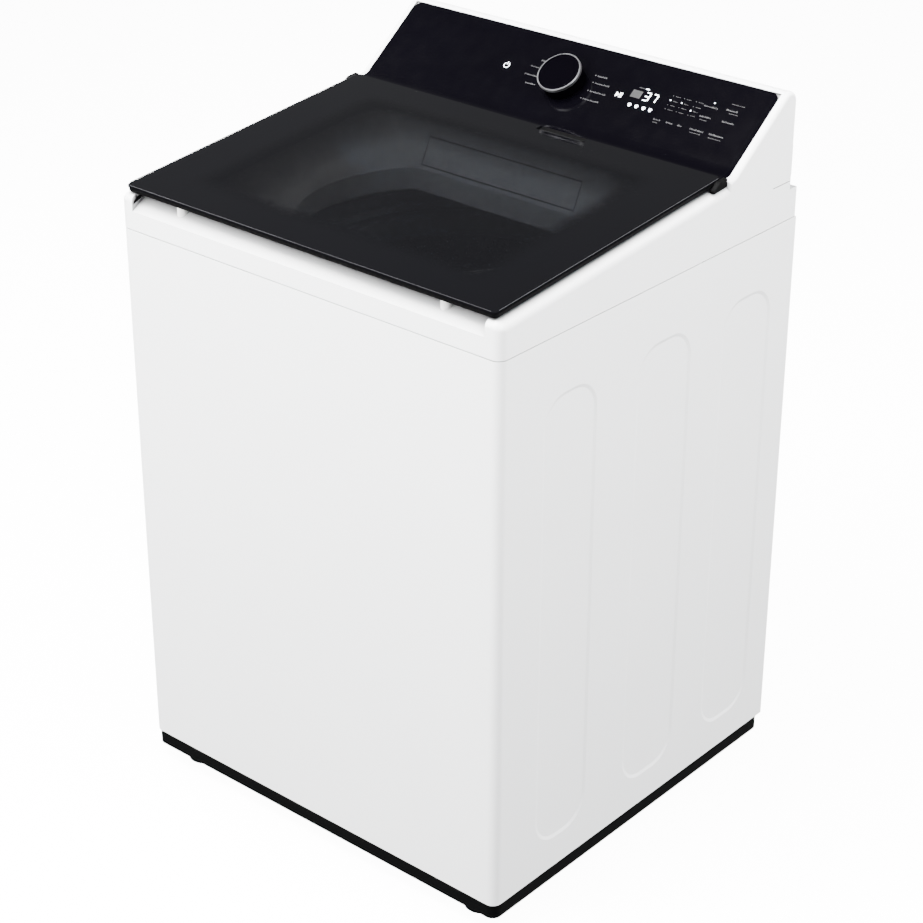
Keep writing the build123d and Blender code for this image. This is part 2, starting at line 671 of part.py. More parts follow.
with BuildPart() as console_panel:
    with BuildSketch(panel_plane.offset(-PANEL_T)):
        with Locations((0, (KINK_S + PANEL_TOP_S) / 2)):
            Rectangle(2 * PANEL_HALF, PANEL_TOP_S - KINK_S)
        fillet(vertices().group_by(Axis.Y)[-1], PANEL_CORNER_R)
    extrude(amount=PANEL_T)
    with BuildSketch(Plane.YZ.offset(-PANEL_HALF)):
        with BuildLine():
            Polyline(
                (PANEL_FRONT_Y, LIP_BOTTOM_Z),
                (PANEL_FRONT_Y, LEDGE_Z),
                (panel_kink_y, panel_kink_z),
                (PANEL_BEND_Y, panel_z(PANEL_BEND_Y)),
                (PANEL_BEND_Y, panel_z(PANEL_BEND_Y, PANEL_T)),
                (panel_kink_y + 1, panel_kink_z - PANEL_T),
                (PANEL_FRONT_Y + PANEL_T, LEDGE_Z - PANEL_T),
                (PANEL_FRONT_Y + PANEL_T, LIP_BOTTOM_Z),
                close=True,
            )
        make_face()
        bend = vertices().filter_by(lambda v: abs(v.X - panel_kink_y) < 0.1 and v.Y > LEDGE_Z)
        fillet(bend, PANEL_BEND_R)
        front_edge = vertices().filter_by(lambda v: v.X < PANEL_FRONT_Y + 0.1 and v.Y > LEDGE_Z - 1)
        chamfer(front_edge, EDGE_C)
    extrude(amount=2 * PANEL_HALF)
    with Locations(panel_plane * Location((0, DIAL_S, 0))):
        Cylinder(SHAFT_HOLE_R, 4 * PANEL_T, mode=Mode.SUBTRACT)
save(console_panel, "console_panel")

# ---------------------------------------------------------------- dial
DIAL_R = 33.5
DIAL_LIFT = 1.2
DIAL_H = 24.5
RING_H = 5.0
dial_plane = panel_plane * Location((0, DIAL_S, 0))

with BuildPart() as dial_knob:
    with BuildSketch(Plane.XZ):
        with BuildLine():
            Polyline(
                (SHAFT_R, DIAL_LIFT),
                (DIAL_R - 2.0, DIAL_LIFT),
                (DIAL_R - 1.0, DIAL_H - RING_H),
                (DIAL_R - 2.0, DIAL_H - RING_H),
                (DIAL_R - 2.0, DIAL_H - 0.8),
                (0, DIAL_H - 0.8),
                (0, DIAL_H - 8.0),
                (SHAFT_R, DIAL_H - 8.0),
                close=True,
            )
        make_face()
    revolve(axis=Axis.Z)
dial_knob.part.locate(Location(dial_plane))
save(dial_knob, "dial_knob")

with BuildPart() as dial_trim_ring:
    with BuildSketch(Plane.XY.offset(DIAL_H - RING_H)):
        Circle(DIAL_R)
        Circle(DIAL_R - 2.0, mode=Mode.SUBTRACT)
    extrude(amount=RING_H)
    chamfer(edges().group_by(Axis.Z)[-1].sort_by(SortBy.LENGTH)[-1], 0.8)
dial_trim_ring.part.locate(Location(dial_plane))
save(dial_trim_ring, "dial_trim_ring")

ENCODER_TOP = 14.0
with BuildPart() as dial_shaft:
    with Locations((0, 0, -ENCODER_TOP - 4)):
        Cylinder(SHAFT_R, ENCODER_TOP + 4 + DIAL_H - 8.0, align=UP)
dial_shaft.part.locate(Location(dial_plane))
save(dial_shaft, "dial_shaft")

# ---------------------------------------------------------------- boards
BOARD_DROP = 20.0
BOARD_T = 1.6
BOARD_W, BOARD_H = 540.0, 84.0
DISPLAY_X, DISPLAY_W, DISPLAY_H = 135.0, 54.0, 18.0
POST_XS = (-262.0, -90.0, 90.0, 262.0)

with BuildPart() as display_board:
    with BuildSketch(Plane.XY.offset(-BOARD_DROP)):
        with Locations((0, LAMP_WINDOW_S)):
            Rectangle(BOARD_W, BOARD_H)
    extrude(amount=BOARD_T)
    with Locations((DISPLAY_X, 57, -BOARD_DROP)):
        Box(DISPLAY_W, DISPLAY_H, BOARD_DROP - PANEL_T - 0.4, align=UP)
    with Locations((0, DIAL_S, -BOARD_DROP)):
        Box(16, 16, BOARD_DROP - ENCODER_TOP + 6, align=UP)
    with Locations(*[(x, LAMP_WINDOW_S + y, -BOARD_DROP) for x in POST_XS for y in (-39.5, 39.5)]):
        Cylinder(2.4, BOARD_DROP - PANEL_T - WALL, align=UP)
    with Locations((0, DIAL_S, -BOARD_DROP)):
        Cylinder(SHAFT_R + 0.05, 60, mode=Mode.SUBTRACT)
display_board.part.locate(Location(panel_plane))
save(display_board, "display_board")

MAIN_X, MAIN_W = 220.0, 170.0
with BuildPart() as main_board:
    with Locations((MAIN_X, 262, 934)):
        Box(MAIN_W, 62, 4, align=UP)
    with Locations((MAIN_X - 50, 262, 938)):
        Box(30, 34, 24, align=UP)
    with Locations((MAIN_X + 10, 262, 938)):
        Box(40, 40, 12, align=UP)
    with Locations((MAIN_X + 60, 262, 938)):
        Cylinder(9, 22, align=UP)
    for side in (-1, 1):
        with Locations((MAIN_X + side * (MAIN_W / 2 - 6), CONSOLE_BACK_Y - WALL, 934)):
            Box(8, 16, 10, align=(Align.CENTER, Align.MAX, Align.MIN))
save(main_board, "main_board")

# ---------------------------------------------------------------- console rear cover
COVER_HALF = 321.0
COVER_LOW_Z, COVER_HIGH_Z = 922.0, 990.0
with BuildPart() as console_rear_cover:
    with BuildSketch(Plane.XZ.offset(-CONSOLE_BACK_Y)):
        with Locations((0, (COVER_LOW_Z + COVER_HIGH_Z) / 2)):
            RectangleRounded(2 * COVER_HALF, COVER_HIGH_Z - COVER_LOW_Z, 14)
    extrude(amount=-(REAR_MOST_Y - CONSOLE_BACK_Y))
    fillet(edges().group_by(Axis.Y)[-1], 8)
    with BuildSketch(Plane.XZ.offset(-CONSOLE_BACK_Y + 1)):
        with Locations((0, (COVER_LOW_Z + COVER_HIGH_Z) / 2)):
            RectangleRounded(2 * COVER_HALF - 5, COVER_HIGH_Z - COVER_LOW_Z - 5, 12)
    extrude(amount=-(REAR_MOST_Y - CONSOLE_BACK_Y - 1.5), mode=Mode.SUBTRACT)
    with Locations((0, CONSOLE_BACK_Y, COVER_LOW_Z)):
        Box(
            3 * HALF,
            2 * (REAR_WALL_Y - CONSOLE_BACK_Y + 0.2),
            2 * (REAR_STEP_Z - COVER_LOW_Z + 0.2),
            mode=Mode.SUBTRACT,
        )
save(console_rear_cover, "console_rear_cover")

# ---------------------------------------------------------------- water and cord fittings at the back
HOSE_THREAD_R = 13.2
for name, valve_x in INLET_XS.items():
    with BuildPart() as inlet_valve:
        with Locations((valve_x, REAR_WALL_Y - WALL, INLET_Z)):
            Box(40, 10, 38, align=(Align.CENTER, Align.MAX, Align.CENTER))
        with Locations((valve_x, REAR_WALL_Y - WALL - 9, INLET_Z - 2)):
            Box(30, 44, 30, align=(Align.CENTER, Align.MAX, Align.CENTER))
        with Locations(Location((valve_x, REAR_WALL_Y - WALL - 30, INLET_Z + 10), (0, 0, 0))):
            Cylinder(11, 24, align=UP)
        with Locations(Location((valve_x, REAR_WALL_Y - WALL, INLET_Z), (-90, 0, 0))):
            Cylinder(INLET_HOLE_R - 0.5, WALL + 2, align=UP)
            Cylinder(HOSE_THREAD_R, 24, align=UP)
        with Locations(Location((valve_x, REAR_WALL_Y - WALL + 4, INLET_Z), (-90, 0, 0))):
            Cylinder(9.5, 40, align=UP, mode=Mode.SUBTRACT)
    save(inlet_valve, f"inlet_valve_{name}")

TUBE_R, TUBE_BORE_R = 6.0, 4.0
VALVE_END_Y = REAR_WALL_Y - WALL - 9 - 44
HOT_X, COLD_X = INLET_XS["hot"], INLET_XS["cold"]
FILL_PATHS = [
    ((HOT_X, VALVE_END_Y, 902), (HOT_X, 240, 902), (HOT_X, 190, 930), (-144, 190, 930)),
    ((COLD_X, VALVE_END_Y, 902), (COLD_X, 240, 902), (-125, 232, 925), (-125, 212, 925)),
]


def hose(points, radius, outer_r, bore_r):
    """A tube along straight runs joined by bends of one radius."""
    with BuildPart() as tube:
        with BuildLine() as path:
            FilletPolyline(*points, radius=radius)
        start = Plane(origin=points[0], z_dir=path.line % 0)
        with BuildSketch(start):
            Circle(outer_r)
        sweep(path=path.wire())
        with BuildSketch(start):
            Circle(bore_r)
        sweep(path=path.wire(), mode=Mode.SUBTRACT)
    return tube


with BuildPart() as fill_hoses:
    for points in FILL_PATHS:
        add(hose(points, 8, TUBE_R, TUBE_BORE_R).part)
save(fill_hoses, "fill_hoses")

HOSE_X, HOSE_Y = 225.0, 288.0
HOSE_TOP_Z = 752.0
HOSE_R = 14.0
HOSE_BORE_R = 11.0
with BuildPart() as drain_outlet:
    with Locations(Location((DRAIN_X, BACK_Y + REAR_T, DRAIN_Z), (-90, 0, 0))):
        Cylinder(24, 2.5, align=UP)
        Cylinder(16, 18, align=UP)
    with Locations(Location((DRAIN_X, BACK_Y + REAR_T, DRAIN_Z), (90, 0, 0))):
        Cylinder(DRAIN_HOLE_R - 0.5, 4, align=UP)
        Cylinder(16, BACK_Y + REAR_T - HOSE_Y, align=UP)
    with Locations((HOSE_X, HOSE_Y, DRAIN_Z)):
        Sphere(16)
    with Locations((HOSE_X, HOSE_Y, HOSE_TOP_Z + 14)):
        Cylinder(16, DRAIN_Z - HOSE_TOP_Z - 14, align=UP)
    with Locations((HOSE_X, HOSE_Y, HOSE_TOP_Z)):
        Cylinder(HOSE_BORE_R, 16, align=UP)
    with Locations((HOSE_X, HOSE_Y, HOSE_TOP_Z - 1)):
        Cylinder(8, DRAIN_Z - HOSE_TOP_Z + 1, align=UP, mode=Mode.SUBTRACT)
    with Locations((HOSE_X, HOSE_Y, DRAIN_Z)):
        Sphere(12, mode=Mode.SUBTRACT)
    with Locations(Location((DRAIN_X, HOSE_Y, DRAIN_Z), (-90, 0, 0))):
        Cylinder(12, 60, align=UP, mode=Mode.SUBTRACT)
save(drain_outlet, "drain_outlet")

with BuildPart() as cord_gland:
    with Locations(Location((CORD_X, BACK_Y - 6, CORD_Z), (-90, 0, 0))):
        Cylinder(CORD_HOLE_R - 0.1, 6 + REAR_T + 9, align=UP)
    with Locations(Location((CORD_X, BACK_Y + REAR_T, CORD_Z), (-90, 0, 0))):
        Cylinder(13, 3, align=UP)
    with Locations(Location((CORD_X, BACK_Y, CORD_Z), (-90, 0, 0))):
        Cylinder(4.6, 60, mode=Mode.SUBTRACT)
save(cord_gland, "cord_gland")

# ---------------------------------------------------------------- dispenser
DRAWER_BACK_Y = 205.0
DRAWER_GAP = 0.8
HOUSING_FRONT_Y = 104.0
DIVIDER_X = 40.0


def band_y(z):
    """Where the basin's sloping back wall is at height z."""
    return CHORD_Y + (z - OPENING_Z) / tan(BAND_SLOPE)


HOUSING_HALF, HOUSING_BACK_Y = DRAWER_HALF + 4, HOUSING_FRONT_Y + 108
HOUSING_WALL = 2.5

with BuildPart() as dispenser_housing:
    with BuildSketch(Plane.XY.offset(DRAWER_LOW_Z - 4)):
        with Locations((0, (HOUSING_FRONT_Y + HOUSING_BACK_Y) / 2)):
            Rectangle(2 * HOUSING_HALF, HOUSING_BACK_Y - HOUSING_FRONT_Y)
    extrude(amount=DRAWER_HIGH_Z - DRAWER_LOW_Z + 8)
    with Locations((0, HOUSING_FRONT_Y - 1, DRAWER_LOW_Z - 4 + HOUSING_WALL)):
        Box(
            2 * (HOUSING_HALF - HOUSING_WALL),
            HOUSING_BACK_Y - HOUSING_FRONT_Y + 1 - HOUSING_WALL,
            DRAWER_HIGH_Z - DRAWER_LOW_Z + 20,
            align=(Align.CENTER, Align.MIN, Align.MIN),
            mode=Mode.SUBTRACT,
        )
save(dispenser_housing, "dispenser_housing")

with BuildPart() as dispenser_drawer:
    with BuildSketch(Plane.YZ.offset(-DRAWER_HALF + DRAWER_GAP)):
        with BuildLine():
            Polyline(
                (band_y(DRAWER_LOW_Z + 1), DRAWER_LOW_Z + 1),
                (band_y(DRAWER_HIGH_Z - 1), DRAWER_HIGH_Z - 1),
                (DRAWER_BACK_Y, DRAWER_HIGH_Z - 1),
                (DRAWER_BACK_Y, DRAWER_LOW_Z + 1),
                close=True,
            )
        make_face()
    extrude(amount=2 * (DRAWER_HALF - DRAWER_GAP))
    for low_x, high_x in ((-DRAWER_HALF + 4, DIVIDER_X), (DIVIDER_X + 3, DRAWER_HALF - 4)):
        with Locations(((low_x + high_x) / 2, 94, DRAWER_LOW_Z + 4)):
            Box(high_x - low_x, 106, 60, align=(Align.CENTER, Align.MIN, Align.MIN), mode=Mode.SUBTRACT)
save(dispenser_drawer, "dispenser_drawer")

with BuildPart() as siphon_cap:
    with Locations((90, 165, DRAWER_LOW_Z + 4)):
        Cylinder(9, 26, align=UP)
        Cylinder(6, 24, align=UP, mode=Mode.SUBTRACT)
save(siphon_cap, "siphon_cap")

# ---------------------------------------------------------------- lid lock
LOCK_TOP_Z = deck(SLOT_Y - 40) - WALL - 0.6
LOCK_H = 34.0
EYE_Z = lid_top(SLOT_Y) - (LID_T + STRIKE_DROP - 8) / cos(LID_SLOPE)
EYE_Y = SLOT_Y + (LID_T + STRIKE_DROP - 8) * sin(LID_SLOPE)
BOLT_L, BOLT_W, BOLT_H = 18.0, 7.0, 5.0
BOLT_X = 301.0

with BuildPart() as lid_lock_housing:
    with Locations(((274 + 334) / 2, SLOT_Y, LOCK_TOP_Z)):
        Box(60, 78, LOCK_H, align=(Align.CENTER, Align.CENTER, Align.MAX))
    with Locations((SLOT_X, SLOT_Y, LOCK_TOP_Z + 1)):
        Box(12, 34, 27, align=(Align.CENTER, Align.CENTER, Align.MAX), mode=Mode.SUBTRACT)
    with Locations((SLOT_X + 4, EYE_Y, EYE_Z)):
        Box(
            BOLT_L + 17,
            BOLT_W + 0.4,
            BOLT_H + 0.4,
            align=(Align.MIN, Align.CENTER, Align.CENTER),
            mode=Mode.SUBTRACT,
        )
save(lid_lock_housing, "lid_lock_housing")

with BuildPart() as lock_bolt:
    with Locations((BOLT_X, EYE_Y, EYE_Z)):
        Box(BOLT_L, BOLT_W, BOLT_H, align=(Align.MIN, Align.CENTER, Align.CENTER))
    chamfer(edges().filter_by(Axis.Y).group_by(Axis.X)[0], 1.2)
save(lock_bolt, "lock_bolt")

# ---------------------------------------------------------------- suspension
BRACKET_T = 3.0
BRACKET_Z = 848.0
ROD_HEAD_R = 8.0
CAP_R = 19.0
CAP_H = 8.0
SPRING_R = 14.0
WIRE_R = 1.8
SPRING_TURNS = 7
LUG_H = 14.0
SPRING_BOTTOM_Z = ROD_CAP_Z + CAP_H
SPRING_TOP_Z = LUG_Z
ROD_HOLE_R = 6.5

with BuildPart() as suspension_brackets:
    for rod_x, rod_y in CORNERS:
        side = 1 if rod_x > 0 else -1
        back = 1 if rod_y > DRUM_Y else -1
        wall_x = side * (HALF - SHEET)
        wall_y = BACK_Y - SHEET if back > 0 else FRONT_Y + SHEET
        in_x, in_y = rod_x - side * 24, rod_y - back * 24
        with BuildSketch(Plane.XY.offset(BRACKET_Z)):
            with BuildLine():
                Polyline(
                    (wall_x, in_y),
                    (wall_x, wall_y - back * (CORNER_R + 2)),
                    (wall_x - side * (CORNER_R + 2), wall_y),
                    (in_x, wall_y),
                    (in_x, in_y + back * 18),
                    (in_x + side * 18, in_y),
                    close=True,
                )
            make_face()
            with Locations((rod_x, rod_y)):
                Circle(ROD_R + 0.5, mode=Mode.SUBTRACT)
        extrude(amount=BRACKET_T)
        flange_mid_y = (in_y + wall_y - back * (CORNER_R + 2)) / 2
        with Locations((wall_x - side * BRACKET_T / 2, flange_mid_y, BRACKET_Z + BRACKET_T)):
            Box(
                BRACKET_T,
                abs(wall_y - in_y) - CORNER_R - 2,
                26,
                align=(Align.CENTER, Align.CENTER, Align.MAX),
            )
save(suspension_brackets, "suspension_brackets")

with BuildPart() as suspension_rods:
    for rod_x, rod_y in CORNERS:
        with Locations((rod_x, rod_y, ROD_CAP_Z - 8)):
            Cylinder(ROD_R, ROD_TOP_Z - ROD_CAP_Z + 8, align=UP)
        with Locations((rod_x, rod_y, BRACKET_Z + BRACKET_T)):
            Cylinder(ROD_HEAD_R, ROD_TOP_Z - BRACKET_Z, align=UP)
    fillet(edges().filter_by(GeomType.CIRCLE).group_by(Axis.Z)[-1], 4)
save(suspension_rods, "suspension_rods")

with BuildPart() as suspension_caps:
    for rod_x, rod_y in CORNERS:
        with Locations((rod_x, rod_y, ROD_CAP_Z)):
            Cylinder(CAP_R, CAP_H, align=UP)
            Cylinder(ROD_R, 3 * CAP_H, mode=Mode.SUBTRACT)
save(suspension_caps, "suspension_caps")

with BuildPart() as spring:
    spring_height = SPRING_TOP_Z - SPRING_BOTTOM_Z - 2 * WIRE_R - 0.4
    with BuildLine():
        coil = Helix(spring_height / SPRING_TURNS, spring_height, SPRING_R)
    with BuildSketch(Plane(origin=coil @ 0, z_dir=coil % 0)):
        Circle(WIRE_R)
    sweep()

with BuildPart() as suspension_springs:
    for rod_x, rod_y in CORNERS:
        add(spring.part.moved(Location((rod_x, rod_y, SPRING_BOTTOM_Z + WIRE_R + 0.2))))
save(suspension_springs, "suspension_springs")

# ---------------------------------------------------------------- outer tub and its cover
TUB_HOLE_R = 36.0
PUMP_X, PUMP_Y = 170.0, 120.0
SUMP_R = 20.0


def tub_body(radius, low_z, high_z):
    """A solid of the tub's shape, with a rounded lower edge."""
    with BuildPart() as body:
        with BuildSketch(drum_plane.offset(low_z)):
            Circle(radius)
        extrude(amount=high_z - low_z)
        fillet(edges().group_by(Axis.Z)[0], 20)
    return body.part


with BuildPart() as outer_tub:
    add(tub_body(TUB_R, TUB_BOTTOM_Z, TUB_TOP_Z))
    for rod_x, rod_y in CORNERS:
        angle = degrees(atan2(rod_y - DRUM_Y, rod_x))
        reach = sqrt(rod_x**2 + (rod_y - DRUM_Y) ** 2)
        with Locations(Location((0, DRUM_Y, LUG_Z), (0, 0, angle))):
            with Locations((reach / 2, 0, 0)):
                Box(reach + 20, 44, LUG_H, align=UP)
            with Locations((TUB_R + 8, 0, LUG_H)):
                Box(40, 10, 30, align=UP)
    with Locations(*[(x, y, LUG_Z) for x, y in CORNERS]):
        Cylinder(ROD_HOLE_R, 3 * LUG_H, mode=Mode.SUBTRACT)
    add(tub_body(TUB_R - TUB_T, TUB_BOTTOM_Z + TUB_T, TUB_TOP_Z + 1), mode=Mode.SUBTRACT)
    with BuildSketch(drum_plane.offset(TUB_TOP_Z - 12)):
        Circle(TUB_R + 5)
        Circle(TUB_R - 1, mode=Mode.SUBTRACT)
    extrude(amount=12)
    with Locations((0, DRUM_Y, 0)):
        Cylinder(TUB_HOLE_R, 3 * TUB_BOTTOM_Z, mode=Mode.SUBTRACT)
    with Locations((PUMP_X, PUMP_Y, 0)):
        Cylinder(SUMP_R - 4, 3 * TUB_BOTTOM_Z, mode=Mode.SUBTRACT)
save(outer_tub, "outer_tub")

COVER_TOP_Z = 826.0
COVER_IN_R = 226.0
with BuildPart() as tub_cover:
    with BuildSketch(Plane.XZ):
        with BuildLine():
            Polyline(
                (TUB_R + 5, TUB_TOP_Z),
                (TUB_R + 5, TUB_TOP_Z + 4),
                (TUB_R - 12, TUB_TOP_Z + 4),
                (TUB_R - 30, COVER_TOP_Z),
                (COVER_IN_R, COVER_TOP_Z),
                (COVER_IN_R, COVER_TOP_Z - 12),
                (COVER_IN_R + 3, COVER_TOP_Z - 12),
                (COVER_IN_R + 3, COVER_TOP_Z - 3),
                (TUB_R - 31.5, COVER_TOP_Z - 3),
                (TUB_R - 13.5, TUB_TOP_Z),
                close=True,
            )
        make_face()
    revolve(axis=Axis.Z)
tub_cover.part.locate(Location((0, DRUM_Y, 0)))
save(tub_cover, "tub_cover")

# ---------------------------------------------------------------- bearing housing, bearings, seal
BOSS_BOTTOM_Z = 150.0
BOSS_TOP_Z = 225.0
BEARING_R = 26.0
SPIN_R = 16.0
SPIN_BORE_R = 11.05
DRIVE_R = 11.0
RUN_GAP = 0.05
LOWER_BEARING_Z, UPPER_BEARING_Z, BEARING_H = 152.0, 200.0, 14.0
SEAL_Z = 216.0


def ring(outer_r, inner_r, low_z, high_z):
    """A plain ring about the drum's axis."""
    with BuildPart() as result:
        with BuildSketch(drum_plane.offset(low_z)):
            Circle(outer_r)
            Circle(inner_r, mode=Mode.SUBTRACT)
        extrude(amount=high_z - low_z)
    return result


with BuildPart() as bearing_housing:
    with BuildSketch(drum_plane.offset(TUB_BOTTOM_Z - 8)):
        Circle(120)
    extrude(amount=8)
    for turn in range(6):
        with Locations(Location((0, DRUM_Y, TUB_BOTTOM_Z - 20), (0, 0, 60 * turn))):
            with Locations((70, 0, 0)):
                Box(84, 5, 14, align=UP)
    with BuildSketch(drum_plane.offset(BOSS_BOTTOM_Z)):
        Circle(TUB_HOLE_R)
    extrude(amount=BOSS_TOP_Z - BOSS_BOTTOM_Z)
    with Locations((0, DRUM_Y, 0)):
        Cylinder(BEARING_R - 4, 3 * TUB_BOTTOM_Z, mode=Mode.SUBTRACT)
    with Locations((0, DRUM_Y, BOSS_BOTTOM_Z)):
        Cylinder(BEARING_R, 2 * (LOWER_BEARING_Z + BEARING_H - BOSS_BOTTOM_Z), mode=Mode.SUBTRACT)
    with Locations((0, DRUM_Y, UPPER_BEARING_Z)):
        Cylinder(BEARING_R, 60, align=UP, mode=Mode.SUBTRACT)
save(bearing_housing, "bearing_housing")

save(ring(BEARING_R, SPIN_R + RUN_GAP, UPPER_BEARING_Z, UPPER_BEARING_Z + BEARING_H), "upper_bearing")
save(ring(BEARING_R, SPIN_R + RUN_GAP, LOWER_BEARING_Z, LOWER_BEARING_Z + BEARING_H), "lower_bearing")
save(ring(BEARING_R, SPIN_R + RUN_GAP, SEAL_Z, SEAL_Z + 7), "shaft_seal")

# ---------------------------------------------------------------- basket
SPIN_BOTTOM_Z, SPIN_TOP_Z = 128.0, 262.0
HUB_R = 62.0
HUB_BOTTOM_Z = 240.0
HOLE_ROWS = 7
HOLES_ROUND = 20
HOLE_R = 4.0

with BuildPart() as basket_shell:
    with BuildSketch(drum_plane.offset(BASKET_FLOOR_Z)):
        Circle(BASKET_R)
        Circle(BASKET_R - BASKET_T, mode=Mode.SUBTRACT)
    extrude(amount=RING_BOTTOM_Z - BASKET_FLOOR_Z)
    with Locations((0, DRUM_Y, BASKET_FLOOR_Z + 90)):
        for row in range(HOLE_ROWS):
            for turn in range(HOLES_ROUND // 2):
                angle = 360 / HOLES_ROUND * (turn + 0.5 * (row % 2))
                with Locations(Location((0, 0, 55 * row), (0, 90, angle))):
                    Cylinder(HOLE_R, 3 * BASKET_R, mode=Mode.SUBTRACT)
save(basket_shell, "basket_shell")

with BuildPart() as basket_floor:
    with BuildSketch(drum_plane.offset(BASKET_FLOOR_Z)):
        Circle(BASKET_R - BASKET_T)
        Circle(SPIN_R, mode=Mode.SUBTRACT)
    extrude(amount=4)
save(basket_floor, "basket_floor")

save(ring(HUB_R, SPIN_R, HUB_BOTTOM_Z, BASKET_FLOOR_Z), "basket_hub")
save(ring(SPIN_R, SPIN_BORE_R, SPIN_BOTTOM_Z, SPIN_TOP_Z), "spin_shaft")

with BuildPart() as balance_ring:
    with BuildSketch(drum_plane.offset(RING_BOTTOM_Z)):
        Circle(BASKET_R)
        Circle(RING_INNER_R, mode=Mode.SUBTRACT)
    extrude(amount=RING_TOP_Z - RING_BOTTOM_Z)
    fillet(edges().group_by(Axis.Z)[-1], 8)
    fillet(edges().group_by(Axis.Z)[0].sort_by(SortBy.LENGTH)[0], 10)
save(balance_ring, "balance_ring")

# ---------------------------------------------------------------- pulsator and its drive
PULSATOR_R = 185.0
PULSATOR_BOTTOM_Z = 266.0
VANES = 6
DRIVE_BOTTOM_Z, DRIVE_TOP_Z = 104.0, 288.0

with BuildPart() as pulsator:
    with BuildSketch(Plane.XZ):
        with BuildLine():
            Polyline(
                (0, PULSATOR_BOTTOM_Z),
                (PULSATOR_R, PULSATOR_BOTTOM_Z),
                (PULSATOR_R, PULSATOR_BOTTOM_Z + 10),
                (PULSATOR_R - 18, PULSATOR_BOTTOM_Z + 7),
                (70, PULSATOR_BOTTOM_Z + 15),
                (44, PULSATOR_BOTTOM_Z + 34),
                (18, PULSATOR_BOTTOM_Z + 38),
                (0, PULSATOR_BOTTOM_Z + 38),
                close=True,
            )
        make_face()
    revolve(axis=Axis.Z)
    for turn in range(VANES):
        with Locations(Location((0, 0, PULSATOR_BOTTOM_Z), (0, 0, 360 / VANES * turn))):
            with Locations((98, 0, 0)):
                Box(130, 18, 27, align=UP)
    Cylinder(DRIVE_R, 2 * DRIVE_TOP_Z, mode=Mode.SUBTRACT)
    with Locations((0, 0, PULSATOR_BOTTOM_Z + 30)):
        Cylinder(13, 30, align=UP, mode=Mode.SUBTRACT)
    Cylinder(4, 800, mode=Mode.SUBTRACT)
pulsator.part.locate(Location((0, DRUM_Y, 0)))
save(pulsator, "pulsator")

with BuildPart() as pulsator_bolt:
    with Locations((0, DRUM_Y, PULSATOR_BOTTOM_Z + 30)):
        Cylinder(12, 3, align=UP)
        Cylinder(8, 7, align=UP)
        Cylinder(4, 3, align=UP)
    with Locations((0, DRUM_Y, DRIVE_TOP_Z)):
        Cylinder(4, PULSATOR_BOTTOM_Z + 31 - DRIVE_TOP_Z, align=UP)
save(pulsator_bolt, "pulsator_bolt")

with BuildPart() as drive_shaft:
    with Locations((0, DRUM_Y, DRIVE_BOTTOM_Z)):
        Cylinder(DRIVE_R, DRIVE_TOP_Z - DRIVE_BOTTOM_Z, align=UP)
save(drive_shaft, "drive_shaft")

# ---------------------------------------------------------------- motor, clutch
with BuildPart() as motor_stator:
    with BuildSketch(drum_plane.offset(152)):
        Circle(76)
        Circle(50, mode=Mode.SUBTRACT)
        with PolarLocations(88, 18):
            Rectangle(26, 12)
    extrude(amount=30)
    with BuildSketch(drum_plane.offset(182)):
        with PolarLocations(63, 3, start_angle=30):
            Circle(6)
    extrude(amount=TUB_BOTTOM_Z - 8 - 182)
save(motor_stator, "motor_stator")

with BuildPart() as motor_rotor:
    with BuildSketch(drum_plane.offset(112)):
        Circle(118)
        Circle(DRIVE_R, mode=Mode.SUBTRACT)
        with PolarLocations(70, 8):
            Circle(14, mode=Mode.SUBTRACT)
    extrude(amount=5)
    with BuildSketch(drum_plane.offset(112)):
        Circle(118)
        Circle(106, mode=Mode.SUBTRACT)
    extrude(amount=70)
    with BuildSketch(drum_plane.offset(112)):
        Circle(28)
        Circle(DRIVE_R, mode=Mode.SUBTRACT)
    extrude(amount=14)
save(motor_rotor, "motor_rotor")

save(ring(28.0, SPIN_R + RUN_GAP, 133.0, 147.0), "clutch_coupler")
save(ring(44.0, 30.0, 130.0, BOSS_BOTTOM_Z), "clutch_coil")

# ---------------------------------------------------------------- drain pump and hose
PUMP_BOTTOM_Z = 150.0
PUMP_R = 34.0
with BuildPart() as drain_pump_housing:
    with Locations((PUMP_X, PUMP_Y, PUMP_BOTTOM_Z)):
        Cylinder(PUMP_R, TUB_BOTTOM_Z - PUMP_BOTTOM_Z, align=UP)
    with Locations(Location((PUMP_X, PUMP_Y, 192), (-90, 0, 0))):
        Cylinder(HOSE_BORE_R, 66, align=UP)
    with Locations((PUMP_X, PUMP_Y, 180)):
        Cylinder(26, 26, align=UP, mode=Mode.SUBTRACT)
    with Locations((PUMP_X, PUMP_Y, 180)):
        Cylinder(16, 60, align=UP, mode=Mode.SUBTRACT)
    with Locations((PUMP_X, PUMP_Y, 160)):
        Cylinder(3.05, 60, align=UP, mode=Mode.SUBTRACT)
    with Locations(Location((PUMP_X, PUMP_Y, 192), (-90, 0, 0))):
        Cylinder(8, 90, align=UP, mode=Mode.SUBTRACT)
save(drain_pump_housing, "drain_pump_housing")

with BuildPart() as pump_impeller:
    with Locations((PUMP_X, PUMP_Y, 161)):
        Cylinder(3, 30, align=UP)
    with Locations((PUMP_X, PUMP_Y, 183)):
        Cylinder(20, 3, align=UP)
        Cylinder(6, 18, align=UP)
    for turn in range(4):
        with Locations(Location((PUMP_X, PUMP_Y, 183), (0, 0, 90 * turn))):
            with Locations((11, 0, 0)):
                Box(18, 2.5, 16, align=UP)
save(pump_impeller, "pump_impeller")

hose_points = (
    (PUMP_X, PUMP_Y + 42, 192),
    (PUMP_X, PUMP_Y + 125, 192),
    (HOSE_X, HOSE_Y, 230),
    (HOSE_X, HOSE_Y, HOSE_TOP_Z + 14),
)
save(hose(hose_points, 30, HOSE_R, HOSE_BORE_R), "drain_hose")
